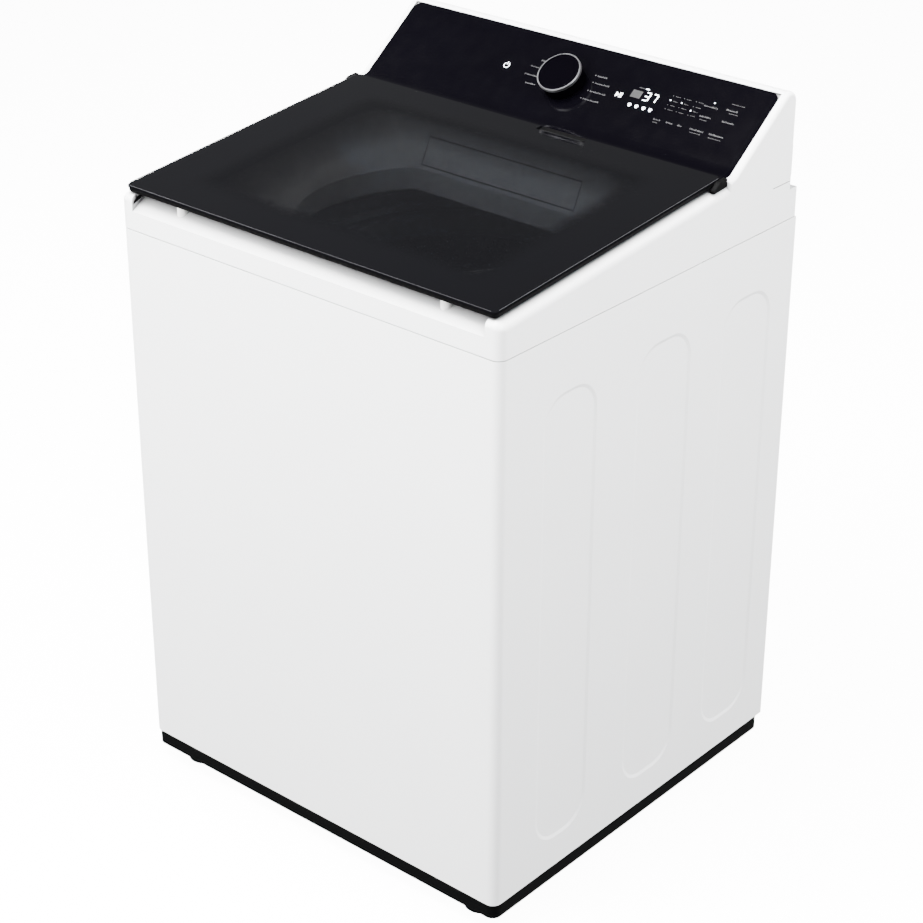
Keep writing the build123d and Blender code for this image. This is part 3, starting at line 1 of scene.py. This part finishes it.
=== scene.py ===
"""Looks of the top load washing machine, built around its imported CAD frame. Metres, +Z up, front facing -Y."""

import math
import random

import bmesh
import bpy
from mathutils import Matrix, Vector


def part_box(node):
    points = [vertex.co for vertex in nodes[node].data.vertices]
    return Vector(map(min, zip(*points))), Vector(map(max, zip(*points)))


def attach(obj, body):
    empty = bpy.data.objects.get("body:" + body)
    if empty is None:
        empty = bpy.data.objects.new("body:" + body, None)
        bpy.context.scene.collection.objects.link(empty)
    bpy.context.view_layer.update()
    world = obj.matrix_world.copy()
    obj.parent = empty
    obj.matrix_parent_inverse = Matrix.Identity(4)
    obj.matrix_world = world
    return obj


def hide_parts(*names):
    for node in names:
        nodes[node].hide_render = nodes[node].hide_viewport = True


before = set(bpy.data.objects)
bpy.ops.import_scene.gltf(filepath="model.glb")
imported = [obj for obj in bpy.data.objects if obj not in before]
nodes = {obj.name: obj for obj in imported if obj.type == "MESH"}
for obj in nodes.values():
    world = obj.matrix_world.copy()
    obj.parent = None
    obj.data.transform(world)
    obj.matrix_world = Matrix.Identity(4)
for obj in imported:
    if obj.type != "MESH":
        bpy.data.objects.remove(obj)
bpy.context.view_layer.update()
random.seed(7)

# ------------------------------------------------------------------ shared sizes
LID_SLOPE = math.radians(5.0)
LID_FRONT = Vector((0, -0.332, 0.947))
LID_HALF = 0.332
LID_LENGTH = 0.472 / math.cos(LID_SLOPE)
PANEL_SLOPE = math.radians(36.8)
PANEL_ORIGIN = Vector((0, 0.182, 1.0003))
DRUM_Y = -0.010
LEDGE_Z = 0.981
MARK_T = 0.00025  # thickness of a printed mark

# a Mix node's colour sockets
MIX_FACTOR, MIX_A, MIX_B, MIX_RESULT = 0, 6, 7, 2


# ------------------------------------------------------------------ node materials
NOISE_LOW, NOISE_HIGH = 0.3, 0.7  # where most of a noise texture's values lie
TINT_SCALE = 6.0
ROUGH_SCALE = 40.0
MARK_SCALE = 60.0
# painted crevice shade: its samples, how steeply it deepens and its darkest tone
CREVICE_SAMPLES = 6
CREVICE_POWER = 1.7
PAINTED_SHADE_TONE = 0.04


def new_material(name):
    material = bpy.data.materials.new(name)
    material.use_nodes = True
    tree = material.node_tree
    shader = tree.nodes["Principled BSDF"]
    return material, tree, shader


def place(tree, kind, **values):
    node = tree.nodes.new(kind)
    for key, value in values.items():
        if key in node.inputs:
            node.inputs[key].default_value = value
        else:
            setattr(node, key, value)
    return node


def noise(tree, coords, scale, detail=3.0):
    node = place(tree, "ShaderNodeTexNoise", Scale=scale, Detail=detail)
    tree.links.new(coords.outputs["Object"], node.inputs["Vector"])
    return node


def spread(tree, source, low, high):
    """Maps a noise value on to low..high."""
    node = place(tree, "ShaderNodeMapRange")
    node.inputs["To Min"].default_value = low
    node.inputs["To Max"].default_value = high
    node.inputs["From Min"].default_value = NOISE_LOW
    node.inputs["From Max"].default_value = NOISE_HIGH
    tree.links.new(source, node.inputs["Value"])
    return node.outputs["Result"]


def mix_colors(tree, factor, low, high):
    """Mixes two colours, each given as three numbers or as another node's output."""
    node = place(tree, "ShaderNodeMix", data_type="RGBA")
    tree.links.new(factor, node.inputs[MIX_FACTOR])
    for socket, value in ((node.inputs[MIX_A], low), (node.inputs[MIX_B], high)):
        if isinstance(value, tuple):
            socket.default_value = (*value, 1)
        else:
            tree.links.new(value, socket)
    return node.outputs[MIX_RESULT]


def paint_crevice_shade(tree, base, color, reach):
    """Paints shade into a colour, darker where other surfaces lie within reach, as in crevices."""
    hollow = place(tree, "ShaderNodeAmbientOcclusion", samples=CREVICE_SAMPLES)
    hollow.inputs["Distance"].default_value = reach
    depth = place(tree, "ShaderNodeMath", operation="POWER")
    depth.inputs[1].default_value = CREVICE_POWER
    tree.links.new(hollow.outputs["AO"], depth.inputs[0])
    return mix_colors(tree, depth.outputs[0], tuple(PAINTED_SHADE_TONE * c for c in color), base)


def surface(
    name,
    color,
    roughness,
    metallic=0.0,
    tint=0.04,
    rough_spread=0.05,
    bump=0.0,
    bump_scale=900.0,
    specular=0.5,
    crevice=0.0,
):
    """A finish whose colour, roughness and relief all vary a little over the piece, with painted shade in its
    crevices where asked.
    """
    material, tree, shader = new_material(name)
    coords = place(tree, "ShaderNodeTexCoord")
    tone = noise(tree, coords, TINT_SCALE)
    darker = tuple(c * (1 - tint) for c in color)
    lighter = tuple(min(1, c * (1 + tint)) for c in color)
    base = mix_colors(tree, spread(tree, tone.outputs["Fac"], 0.0, 1.0), darker, lighter)
    # painted shade: the colour darkens where other surfaces are near
    if crevice:
        base = paint_crevice_shade(tree, base, color, crevice)
    tree.links.new(base, shader.inputs["Base Color"])
    grain = noise(tree, coords, ROUGH_SCALE)
    low, high = max(0.02, roughness - rough_spread), roughness + rough_spread
    tree.links.new(spread(tree, grain.outputs["Fac"], low, high), shader.inputs["Roughness"])
    shader.inputs["Metallic"].default_value = metallic
    shader.inputs["Specular IOR Level"].default_value = specular
    if bump:
        relief = noise(tree, coords, bump_scale, 2.0)
        bumper = place(tree, "ShaderNodeBump", Strength=bump, Distance=0.0005)
        tree.links.new(relief.outputs["Fac"], bumper.inputs["Height"])
        tree.links.new(bumper.outputs["Normal"], shader.inputs["Normal"])
    return material


WHITE = (0.86, 0.865, 0.87)
white_paint = surface("white_paint", WHITE, 0.36, tint=0.008, bump=0.04, bump_scale=700)
# the white plastic gets painted shade in its crevices and under the lid
white_plastic = surface("white_plastic", WHITE, 0.34, tint=0.008, bump=0.03, bump_scale=1100, crevice=0.045)
black_plastic = surface("black_plastic", (0.0016, 0.0016, 0.0017), 0.5, tint=0.1, bump=0.15, specular=0.03)
gloss_black = surface(
    "gloss_black", (0.0006, 0.0005, 0.0010), 0.12, tint=0.08, rough_spread=0.015, specular=0.32
)
satin_black = surface("satin_black", (0.0006, 0.0005, 0.0009), 0.55, tint=0.08, specular=0.0)
silver = surface("silver", (0.085, 0.085, 0.09), 0.42, metallic=1.0, tint=0.03)
steel = surface("steel", (0.52, 0.52, 0.53), 0.33, metallic=1.0, tint=0.05, bump=0.1)
stainless = surface("stainless", (0.6, 0.6, 0.61), 0.27, metallic=1.0, tint=0.03)
grey_plastic = surface("grey_plastic", (0.42, 0.44, 0.47), 0.42, tint=0.03, bump=0.08)
pale_plastic = surface("pale_plastic", (0.7, 0.7, 0.68), 0.45, tint=0.03, bump=0.08)
aluminium = surface("aluminium", (0.6, 0.6, 0.61), 0.42, metallic=1.0, tint=0.05, bump=0.25)
iron = surface("iron", (0.06, 0.06, 0.07), 0.5, metallic=0.6, tint=0.1, bump=0.2)
board_green = surface("board_green", (0.012, 0.07, 0.028), 0.4, tint=0.1, bump=0.1)
# a lighter grey for the thin strips that paint highlights along edges
edge_highlight_grey = surface("edge_highlight_grey", (0.017, 0.017, 0.019), 0.4, tint=0.1, specular=0.3)
rubber = surface("rubber", (0.006, 0.006, 0.006), 0.6, tint=0.1, bump=0.2, specular=0.3)


def glow(name, color, strength):
    """A softly uneven lit or printed mark that glows; on printed marks the glow is painted light."""
    material, tree, shader = new_material(name)
    coords = place(tree, "ShaderNodeTexCoord")
    tone = noise(tree, coords, MARK_SCALE)
    shader.inputs["Base Color"].default_value = (*color, 1)
    shader.inputs["Roughness"].default_value = 0.4
    shader.inputs["Emission Color"].default_value = (*color, 1)
    tree.links.new(
        spread(tree, tone.outputs["Fac"], 0.85 * strength, 1.15 * strength),
        shader.inputs["Emission Strength"],
    )
    return material


lit_white = glow("lit_white", (0.9, 0.93, 1.0), 2.2)
# the printed marks, unlit dots and dark display field glow faintly: painted light on top of their own colour
print_white_painted_glow = glow("print_white_painted_glow", (0.03, 0.03, 0.032), 0.2)
print_grey_painted_glow = glow("print_grey_painted_glow", (0.018, 0.018, 0.019), 0.1)
display_dim_painted_glow = glow("display_dim_painted_glow", (0.0012, 0.0012, 0.0014), 0.1)


# the clear window in the glass: its middle, half size and the width of its faded edge
WINDOW_ACROSS = (0.0, 0.272, 0.045)
WINDOW_ALONG = (-0.094, 0.192, 0.04)
WINDOW_ALPHA = 0.76
FLAT_FACE = 0.9  # how squarely a face lies to the glass's own plane to count as a flat side


def lid_glass_material():
    """Tinted glass with a black border that fades out towards the window, and plain black edges."""
    material, tree, shader = new_material("lid_glass")
    coords = place(tree, "ShaderNodeTexCoord")
    axes = place(tree, "ShaderNodeSeparateXYZ")
    tree.links.new(coords.outputs["Object"], axes.inputs["Vector"])

    def inside(output, middle, half, fade):
        offset = place(tree, "ShaderNodeMath", operation="SUBTRACT")
        offset.inputs[1].default_value = middle
        tree.links.new(output, offset.inputs[0])
        size = place(tree, "ShaderNodeMath", operation="ABSOLUTE")
        tree.links.new(offset.outputs[0], size.inputs[0])
        step = place(tree, "ShaderNodeMapRange", interpolation_type="SMOOTHSTEP")
        step.inputs["From Min"].default_value = half
        step.inputs["From Max"].default_value = half - fade
        tree.links.new(size.outputs[0], step.inputs["Value"])
        return step.outputs["Result"]

    across = inside(axes.outputs["X"], *WINDOW_ACROSS)
    along = inside(axes.outputs["Y"], *WINDOW_ALONG)
    both = place(tree, "ShaderNodeMath", operation="MULTIPLY")
    tree.links.new(across, both.inputs[0])
    tree.links.new(along, both.inputs[1])
    shader.inputs["Base Color"].default_value = (0.0006, 0.0006, 0.0009, 1)
    shader.inputs["Specular IOR Level"].default_value = 0.2
    grain = noise(tree, coords, 30.0)
    tree.links.new(spread(tree, grain.outputs["Fac"], 0.05, 0.075), shader.inputs["Roughness"])
    alpha = place(tree, "ShaderNodeMapRange")
    alpha.inputs["To Min"].default_value = 1.0
    alpha.inputs["To Max"].default_value = WINDOW_ALPHA
    tree.links.new(both.outputs[0], alpha.inputs["Value"])
    tree.links.new(alpha.outputs["Result"], shader.inputs["Alpha"])
    rim = place(tree, "ShaderNodeBsdfDiffuse")
    rim.inputs["Color"].default_value = (0.0022, 0.0022, 0.0026, 1)
    facing = place(tree, "ShaderNodeVectorMath", operation="DOT_PRODUCT")
    facing.inputs[1].default_value = (0.0, -math.sin(LID_SLOPE), math.cos(LID_SLOPE))
    tree.links.new(coords.outputs["Normal"], facing.inputs[0])
    steep = place(tree, "ShaderNodeMath", operation="ABSOLUTE")
    tree.links.new(facing.outputs["Value"], steep.inputs[0])
    flat = place(tree, "ShaderNodeMath", operation="GREATER_THAN")
    flat.inputs[1].default_value = FLAT_FACE
    tree.links.new(steep.outputs[0], flat.inputs[0])
    mix = place(tree, "ShaderNodeMixShader")
    tree.links.new(flat.outputs[0], mix.inputs[0])
    tree.links.new(rim.outputs[0], mix.inputs[1])
    tree.links.new(shader.outputs[0], mix.inputs[2])
    tree.links.new(mix.outputs[0], tree.nodes["Material Output"].inputs["Surface"])
    return material


lid_glass = lid_glass_material()

finishes = {
    "cabinet_wrapper": white_paint,
    "rear_panel": white_paint,
    "top_cover": white_plastic,
    "console_rear_cover": white_plastic,
    "lid_bumpers": pale_plastic,
    "dispenser_housing": white_plastic,
    "dispenser_drawer": white_plastic,
    "base_frame": black_plastic,
    "lid_frame": black_plastic,
    "hinge_brackets": black_plastic,
    "drum_light": black_plastic,
    "cord_gland": black_plastic,
    "lid_lock_housing": black_plastic,
    "drain_pump_housing": black_plastic,
    "drain_outlet": black_plastic,
    "suspension_caps": black_plastic,
    "console_panel": gloss_black,
    "dial_knob": satin_black,
    "dial_trim_ring": silver,
    "lid_glass": lid_glass,
    "basket_shell": stainless,
    "basket_floor": stainless,
    "outer_tub": grey_plastic,
    "tub_cover": grey_plastic,
    "balance_ring": grey_plastic,
    "pulsator": grey_plastic,
    "siphon_cap": grey_plastic,
    "lock_bolt": grey_plastic,
    "pump_impeller": grey_plastic,
    "clutch_coupler": grey_plastic,
    "inlet_valve_hot": pale_plastic,
    "inlet_valve_cold": pale_plastic,
    "bearing_housing": aluminium,
    "basket_hub": aluminium,
    "motor_stator": iron,
    "motor_rotor": iron,
    "clutch_coil": iron,
    "display_board": board_green,
    "main_board": board_green,
    "drain_hose": rubber,
    "fill_hoses": rubber,
    "shaft_seal": rubber,
}
for corner in ("front_left", "front_right", "back_left", "back_right"):
    finishes[f"foot_{corner}"] = black_plastic
for name, node in nodes.items():
    node.data.materials.clear()
    node.data.materials.append(finishes.get(name, steel))


# ------------------------------------------------------------------ mesh helpers
def mesh_object(name, build, material, body):
    """Makes an object from a bmesh builder, gives it a finish and lets it ride on a CAD body."""
    mesh = bpy.data.meshes.new(name)
    bm = bmesh.new()
    build(bm)
    bm.to_mesh(mesh)
    bm.free()
    obj = bpy.data.objects.new(name, mesh)
    bpy.context.scene.collection.objects.link(obj)
    mesh.materials.append(material)
    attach(obj, body)
    return obj


DISC_SEGMENTS = 24
ARC_STEPS = 28
PANEL_TILT = Matrix.Rotation(PANEL_SLOPE, 4, "X")


def panel_frame(x, s):
    """Places a flat mark, drawn in its own x and y, on the sloping console at x and s."""
    return Matrix.Translation(PANEL_ORIGIN) @ PANEL_TILT @ Matrix.Translation((x, s, 0))


def flat_box(bm, matrix, x, y, width, height, thickness=MARK_T, lift=0.0):
    box = Matrix.Translation((x, y, lift + thickness / 2)) @ Matrix.Diagonal((width, height, thickness, 1))
    bmesh.ops.create_cube(bm, size=1.0, matrix=matrix @ box)


def flat_disc(bm, matrix, x, y, radius):
    bmesh.ops.create_cone(
        bm,
        cap_ends=True,
        segments=DISC_SEGMENTS,
        radius1=radius,
        radius2=radius,
        depth=MARK_T,
        matrix=matrix @ Matrix.Translation((x, y, MARK_T / 2)),
    )


def flat_arc(bm, matrix, radius, width, start, end):
    """A flat band along part of a circle about the origin, with angles in degrees."""
    rings = []
    for step in range(ARC_STEPS + 1):
        angle = math.radians(start + (end - start) * step / ARC_STEPS)
        corners = []
        for r, z in (
            (radius - width / 2, 0.0),
            (radius + width / 2, 0.0),
            (radius + width / 2, MARK_T),
            (radius - width / 2, MARK_T),
        ):
            point = matrix @ Vector((r * math.cos(angle), r * math.sin(angle), z))
            corners.append(bm.verts.new(point))
        rings.append(corners)
    for first, second in zip(rings, rings[1:]):
        for a in range(4):
            b = (a + 1) % 4
            bm.faces.new((first[a], first[b], second[b], second[a]))
    bm.faces.new(rings[0][::-1])
    bm.faces.new(rings[-1])
    bmesh.ops.recalc_face_normals(bm, faces=bm.faces[:])


LETTER_H = 0.0026
FINE_H = 0.0014


def pseudo_word(bm, x, s, length, align="left", height=LETTER_H):
    """A row of small unreadable strokes that stands in for a printed word."""
    start = {"left": x, "right": x - length, "middle": x - length / 2}[align]
    position = start
    base = panel_frame(0, 0)
    while position < start + length - 0.3 * height:
        width = height * random.choice((0.35, 0.5, 0.55, 0.6, 0.7))
        tall = random.random() < 0.3 or position == start
        stroke = height if tall else 0.72 * height
        low = s - height / 2
        flat_box(bm, base, position + 0.12 * height, low + stroke / 2, 0.22 * height, stroke)
        if width > 0.5 * height:
            right = position + width - 0.12 * height
            flat_box(bm, base, right, low + stroke * 0.36, 0.2 * height, stroke * 0.72)
            bar = low + stroke * random.choice((0.08, 0.7))
            flat_box(bm, base, position + width / 2, bar, width * 0.8, 0.18 * height)
        position += width + 0.28 * height


# ------------------------------------------------------------------ console marks
# each label: x of its end, start or middle, s up the slope, length
LEFT_PROGRAMS = ((-0.043, 0.070, 0.016), (-0.046, 0.057, 0.024), (-0.047, 0.042, 0.025), (-0.043, 0.028, 0.019))
RIGHT_PROGRAMS = ((0.045, 0.0687, 0.017), (0.048, 0.0565, 0.025), (0.048, 0.0418, 0.027), (0.045, 0.0272, 0.028))
OPTIONS = (
    (0.176, 0.0255, 0.011),
    (0.197, 0.0255, 0.010),
    (0.216, 0.0255, 0.008),
    (0.244, 0.0255, 0.023),
    (0.277, 0.0255, 0.024),
    (0.244, 0.067, 0.024),
    (0.277, 0.0695, 0.018),
    (0.2436, 0.0495, 0.018),
    (0.282, 0.0498, 0.019),
)
FINE_LABELS = (
    (0.244, 0.0205, 0.018),
    (0.277, 0.0195, 0.02),
    (0.176, 0.0205, 0.008),
    (0.282, 0.080, 0.022),
    (0.244, 0.044, 0.012),
    (0.282, 0.0645, 0.014),
)
LEVEL_COLUMNS = (0.178, 0.197, 0.217)
LEVEL_ROWS = (0.069, 0.0605, 0.053, 0.0455)


def left_and_right_labels(bm):
    for x, s, length in LEFT_PROGRAMS:
        pseudo_word(bm, x, s, length, "right")
    for x, s, length in RIGHT_PROGRAMS:
        pseudo_word(bm, x, s, length, "left")
        flat_disc(bm, panel_frame(0, 0), x - 0.004, s, 0.0009)


def bottom_labels(bm):
    for x, s, length in OPTIONS:
        pseudo_word(bm, x, s, length, "middle")


def small_grey_labels(bm):
    for x in LEVEL_COLUMNS:
        for s in LEVEL_ROWS:
            pseudo_word(bm, x + 0.0045, s, 0.008, "left", FINE_H)
    for x, s, length in FINE_LABELS:
        pseudo_word(bm, x, s, length, "middle", FINE_H)
    pseudo_word(bm, 0.128, 0.0683, 0.008, "right", 0.0016)


def led_dots(bm):
    base = panel_frame(0, 0)
    for x, s in ((0.178, 0.061), (0.197, 0.061), (0.217, 0.053), (0.245, 0.0746)):
        flat_disc(bm, base, x, s, 0.0011)


def dim_dots(bm):
    base = panel_frame(0, 0)
    for x in LEVEL_COLUMNS:
        for s in LEVEL_ROWS:
            flat_disc(bm, base, x, s, 0.0006)


def power_icon(bm):
    base = panel_frame(-0.110, 0.0474)
    flat_arc(bm, base, 0.0046, 0.0009, 125, 415)
    flat_box(bm, base, 0, 0.0038, 0.0009, 0.0050)


def play_icon(bm):
    base = panel_frame(0.095, 0.0483)
    outline = [Vector((-0.0048, -0.0042, 0)), Vector((0.0006, 0, 0)), Vector((-0.0048, 0.0042, 0))]
    low = [bm.verts.new(base @ point) for point in outline]
    high = [bm.verts.new(base @ (point + Vector((0, 0, MARK_T)))) for point in outline]
    bm.faces.new(high)
    bm.faces.new(low[::-1])
    for a in range(3):
        b = (a + 1) % 3
        bm.faces.new((low[a], low[b], high[b], high[a]))
    flat_box(bm, base, 0.0022, 0, 0.0012, 0.0082)
    flat_box(bm, base, 0.0050, 0, 0.0012, 0.0082)


DIGIT_W, DIGIT_H, STROKE = 0.0085, 0.0135, 0.0017
DIGIT_S = 0.0565
DIGIT_LEAN = 0.1
# each bar of a seven segment digit: its offset and its size
BARS = {
    "a": (0, DIGIT_H / 2, DIGIT_W * 0.72, STROKE),
    "g": (0, 0, DIGIT_W * 0.72, STROKE),
    "d": (0, -DIGIT_H / 2, DIGIT_W * 0.72, STROKE),
    "b": (DIGIT_W / 2, DIGIT_H / 4, STROKE, DIGIT_H * 0.42),
    "c": (DIGIT_W / 2, -DIGIT_H / 4, STROKE, DIGIT_H * 0.42),
}
DIGITS = ((0.1395, "abgcd"), (0.1520, "abc"))  # a three and a seven


def display_digits(bm):
    base = panel_frame(0, 0)
    for x, bars in DIGITS:
        for bar in bars:
            dx, ds, width, height = BARS[bar]
            flat_box(bm, base, x + dx + DIGIT_LEAN * ds, DIGIT_S + ds, width, height, lift=0.0001)
    flat_box(bm, base, 0.134, 0.0683, 0.006, 0.0016)


def display_window(bm):
    flat_box(bm, panel_frame(0, 0), 0.1215, DIGIT_S, 0.0165, 0.0125, thickness=0.00012)


def round_icons(bm):
    for x in (0.121, 0.133, 0.1456, 0.157):
        base = panel_frame(x, 0.0363)
        flat_disc(bm, base, 0, 0, 0.0021)
        flat_arc(bm, base, 0.0032, 0.0007, 20, 160)


for mark, build, material, slot in (
    ("program_labels", left_and_right_labels, print_white_painted_glow, "white_plastic"),
    ("option_labels", bottom_labels, print_white_painted_glow, "white_plastic"),
    ("fine_labels", small_grey_labels, print_grey_painted_glow, "white_plastic"),
    ("lit_dots", led_dots, lit_white, "white_plastic"),
    ("unlit_dots", dim_dots, print_grey_painted_glow, "white_plastic"),
    ("power_mark", power_icon, lit_white, "white_plastic"),
    ("start_mark", play_icon, lit_white, "white_plastic"),
    ("digits", display_digits, lit_white, "white_plastic"),
    ("display_field", display_window, display_dim_painted_glow, "gloss_black"),
    ("option_marks", round_icons, lit_white, "white_plastic"),
):
    mesh_object(mark, build, material, "cabinet")


# ------------------------------------------------------------------ edge lines with painted highlights
LID_FRAME = Matrix.Translation(LID_FRONT) @ Matrix.Rotation(LID_SLOPE, 4, "X")
LINE_W = 0.0006
LINE_IN = 0.0002  # how far the line's middle lies inside the edge
LID_LINE_LIFT = -0.0005
CORNER_GAP = 0.007


def lid_edge(bm):
    """A painted highlight on the polished upper edge of the glass along its front and sides."""
    front_length = 2 * (LID_HALF - CORNER_GAP)
    flat_box(bm, LID_FRAME, 0, LINE_IN, front_length, LINE_W, LINE_W, LID_LINE_LIFT)
    for side in (-1, 1):
        x = side * (LID_HALF - LINE_IN)
        flat_box(bm, LID_FRAME, x, LID_LENGTH / 2, LINE_W, LID_LENGTH - 0.016, LINE_W, LID_LINE_LIFT)


def console_edge(bm):
    """A painted highlight on the broken front edge of the black console panel."""
    low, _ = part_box("console_panel")
    ledge = Matrix.Translation((0, low[1], LEDGE_Z))
    flat_box(bm, ledge, 0, 0.0004, 2 * LID_HALF - 0.002, LINE_W, thickness=LINE_W, lift=-0.0008)


# thin lighter strips that paint highlights along the lid's and the console's edges
mesh_object("lid_edge_highlight", lid_edge, edge_highlight_grey, "lid")
mesh_object("console_edge_highlight", console_edge, edge_highlight_grey, "cabinet")


# ------------------------------------------------------------------ perforated basket wall
BASKET_HOLES_ROUND = 90
BASKET_ROWS = 24
BASKET_HOLE_R = 0.0036
BASKET_WALL = 0.0012
MERGE_DIST = 0.00001
# the points round one cell's edge, from -1 to 1 across and up
CELL = ((-1, -1), (0, -1), (1, -1), (1, 0), (1, 1), (0, 1), (-1, 1), (-1, 0))


def drum_point(radius, angle, z):
    return (radius * math.cos(angle), DRUM_Y + radius * math.sin(angle), z)


def basket_wall(bm):
    """A thin drum wall with staggered rows of small round holes."""
    low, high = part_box("basket_shell")
    outer = (high[0] - low[0]) / 2
    step = 2 * math.pi / BASKET_HOLES_ROUND
    rise = (high[2] - low[2]) / BASKET_ROWS
    for row in range(BASKET_ROWS):
        shift = 0.25 if row % 2 else -0.25
        for turn in range(BASKET_HOLES_ROUND):
            middle = (turn + 0.5) * step
            height = low[2] + (row + 0.5) * rise
            shells = []
            for radius in (outer, outer - BASKET_WALL):
                edge, hole = [], []
                for a, b in CELL:
                    point = drum_point(radius, middle + a * step / 2, height + b * rise / 2)
                    edge.append(bm.verts.new(point))
                    turn_to = math.atan2(b, a)
                    angle = middle + shift * step + BASKET_HOLE_R * math.cos(turn_to) / radius
                    point = drum_point(radius, angle, height + BASKET_HOLE_R * math.sin(turn_to))
                    hole.append(bm.verts.new(point))
                shells.append((edge, hole))
            (edge_out, hole_out), (edge_in, hole_in) = shells
            for a in range(len(CELL)):
                b = (a + 1) % len(CELL)
                bm.faces.new((edge_out[a], edge_out[b], hole_out[b], hole_out[a]))
                bm.faces.new((edge_in[b], edge_in[a], hole_in[a], hole_in[b]))
                bm.faces.new((hole_out[a], hole_out[b], hole_in[b], hole_in[a]))
    bmesh.ops.remove_doubles(bm, verts=bm.verts[:], dist=MERGE_DIST)


basket = mesh_object("basket_wall", basket_wall, stainless, "basket")
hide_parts("basket_shell")


# ------------------------------------------------------------------ floor, light and camera
FLOOR_HALF = 30.0
FLOOR_GLOW = 12.0


def floor_material():
    """A floor so bright that it shows as plain white, whatever shadow falls on it."""
    material, tree, shader = new_material("floor")
    coords = place(tree, "ShaderNodeTexCoord")
    tone = noise(tree, coords, 0.6)
    base = mix_colors(tree, tone.outputs["Fac"], (0.40, 0.40, 0.402), (0.42, 0.42, 0.421))
    tree.links.new(base, shader.inputs["Base Color"])
    shader.inputs["Roughness"].default_value = 0.8
    shader.inputs["Specular IOR Level"].default_value = 0.1
    shader.inputs["Emission Color"].default_value = (1, 1, 1, 1)
    shader.inputs["Emission Strength"].default_value = FLOOR_GLOW
    return material


floor_mesh = bpy.data.meshes.new("floor")
floor_corners = [(a * FLOOR_HALF, b * FLOOR_HALF, 0) for a, b in ((-1, -1), (1, -1), (1, 1), (-1, 1))]
floor_mesh.from_pydata(floor_corners, [], [(0, 1, 2, 3)])
floor = bpy.data.objects.new("floor", floor_mesh)
bpy.context.scene.collection.objects.link(floor)
floor_mesh.materials.append(floor_material())
floor.visible_diffuse = False
floor.visible_glossy = False

# brightness of the sky by height, from straight down at 0 to straight up at 1
SKY_STEPS = ((0.0, 0.7), (0.5, 0.7), (0.64, 0.4), (0.79, 0.22), (0.87, 0.05), (1.0, 0.04))
SKY_TINT = (0.97, 0.985, 1.0)

world = bpy.data.worlds.new("studio")
bpy.context.scene.world = world
world.use_nodes = True
sky = world.node_tree
direction = place(sky, "ShaderNodeTexCoord")
axes = place(sky, "ShaderNodeSeparateXYZ")
sky.links.new(direction.outputs["Generated"], axes.inputs[0])
height = place(sky, "ShaderNodeMapRange")
height.inputs["From Min"].default_value = -1.0
height.inputs["From Max"].default_value = 1.0
sky.links.new(axes.outputs["Z"], height.inputs["Value"])
ramp = place(sky, "ShaderNodeValToRGB")
sky.links.new(height.outputs["Result"], ramp.inputs["Fac"])
while len(ramp.color_ramp.elements) < len(SKY_STEPS):
    ramp.color_ramp.elements.new(0.5)
for element, (position, value) in zip(ramp.color_ramp.elements, SKY_STEPS):
    element.position = position
    element.color = (*[value * tint for tint in SKY_TINT], 1)
sky.links.new(ramp.outputs["Color"], sky.nodes["Background"].inputs["Color"])


def soft_box(name, place_at, aim, watts, size, color=(1.0, 1.0, 1.0)):
    """A square lamp at a point, turned towards another, that the camera doesn't see."""
    data = bpy.data.lights.new(name, "AREA")
    data.energy = watts
    data.size = size
    data.color = color
    obj = bpy.data.objects.new(name, data)
    obj.location = place_at
    obj.rotation_mode = "QUATERNION"
    obj.rotation_quaternion = (Vector(place_at) - Vector(aim)).to_track_quat("Z", "Y")
    obj.visible_camera = False
    bpy.context.scene.collection.objects.link(obj)
    return obj


soft_box("front_light", (-0.9, -2.4, 2.1), (0, -0.335, 0.6), 330, 1.6)
soft_box("high_light", (-0.4, -1.3, 3.4), (0, -0.335, 0.7), 560, 1.3)
soft_box("side_light", (2.2, -0.3, 2.3), (0.343, 0, 0.6), 230, 1.5)
soft_box("top_light", (0.3, -0.2, 3.2), (0, -0.1, 0.95), 60, 1.5)
soft_box("back_light", (1.3, 2.7, 1.9), (0, 0.3, 0.5), 240, 1.6)
soft_box("left_light", (-2.7, 0.2, 1.9), (-0.343, 0, 0.5), 160, 1.6)

# a thin strip under the lid that lights the basin's back wall
rear_lamp = soft_box("rear_lamp", (0, -0.02, 0.955), (0, 0.085, 0.925), 0.10, 0.42, (0.55, 0.72, 1.0))
rear_lamp.data.shape = "RECTANGLE"
rear_lamp.data.size_y = 0.012

SENSOR_MM = 36.0
LENS_MM = 93.10
CAMERA_RIGHT = (0.75801, 0.65223, 0.00240)
CAMERA_UP = (-0.30325, 0.34917, 0.88664)
CAMERA_BACK = (0.57746, -0.67281, 0.46246)
CAMERA_AT = (2.0311, -2.3739, 2.1285)

camera_data = bpy.data.cameras.new("camera")
camera_data.sensor_width = SENSOR_MM
camera_data.lens = LENS_MM
camera_data.clip_end = 200.0
camera = bpy.data.objects.new("camera", camera_data)
columns = (CAMERA_RIGHT, CAMERA_UP, CAMERA_BACK, CAMERA_AT)
camera.matrix_world = Matrix([*zip(*columns), (0, 0, 0, 1)])
bpy.context.scene.collection.objects.link(camera)
bpy.context.scene.camera = camera
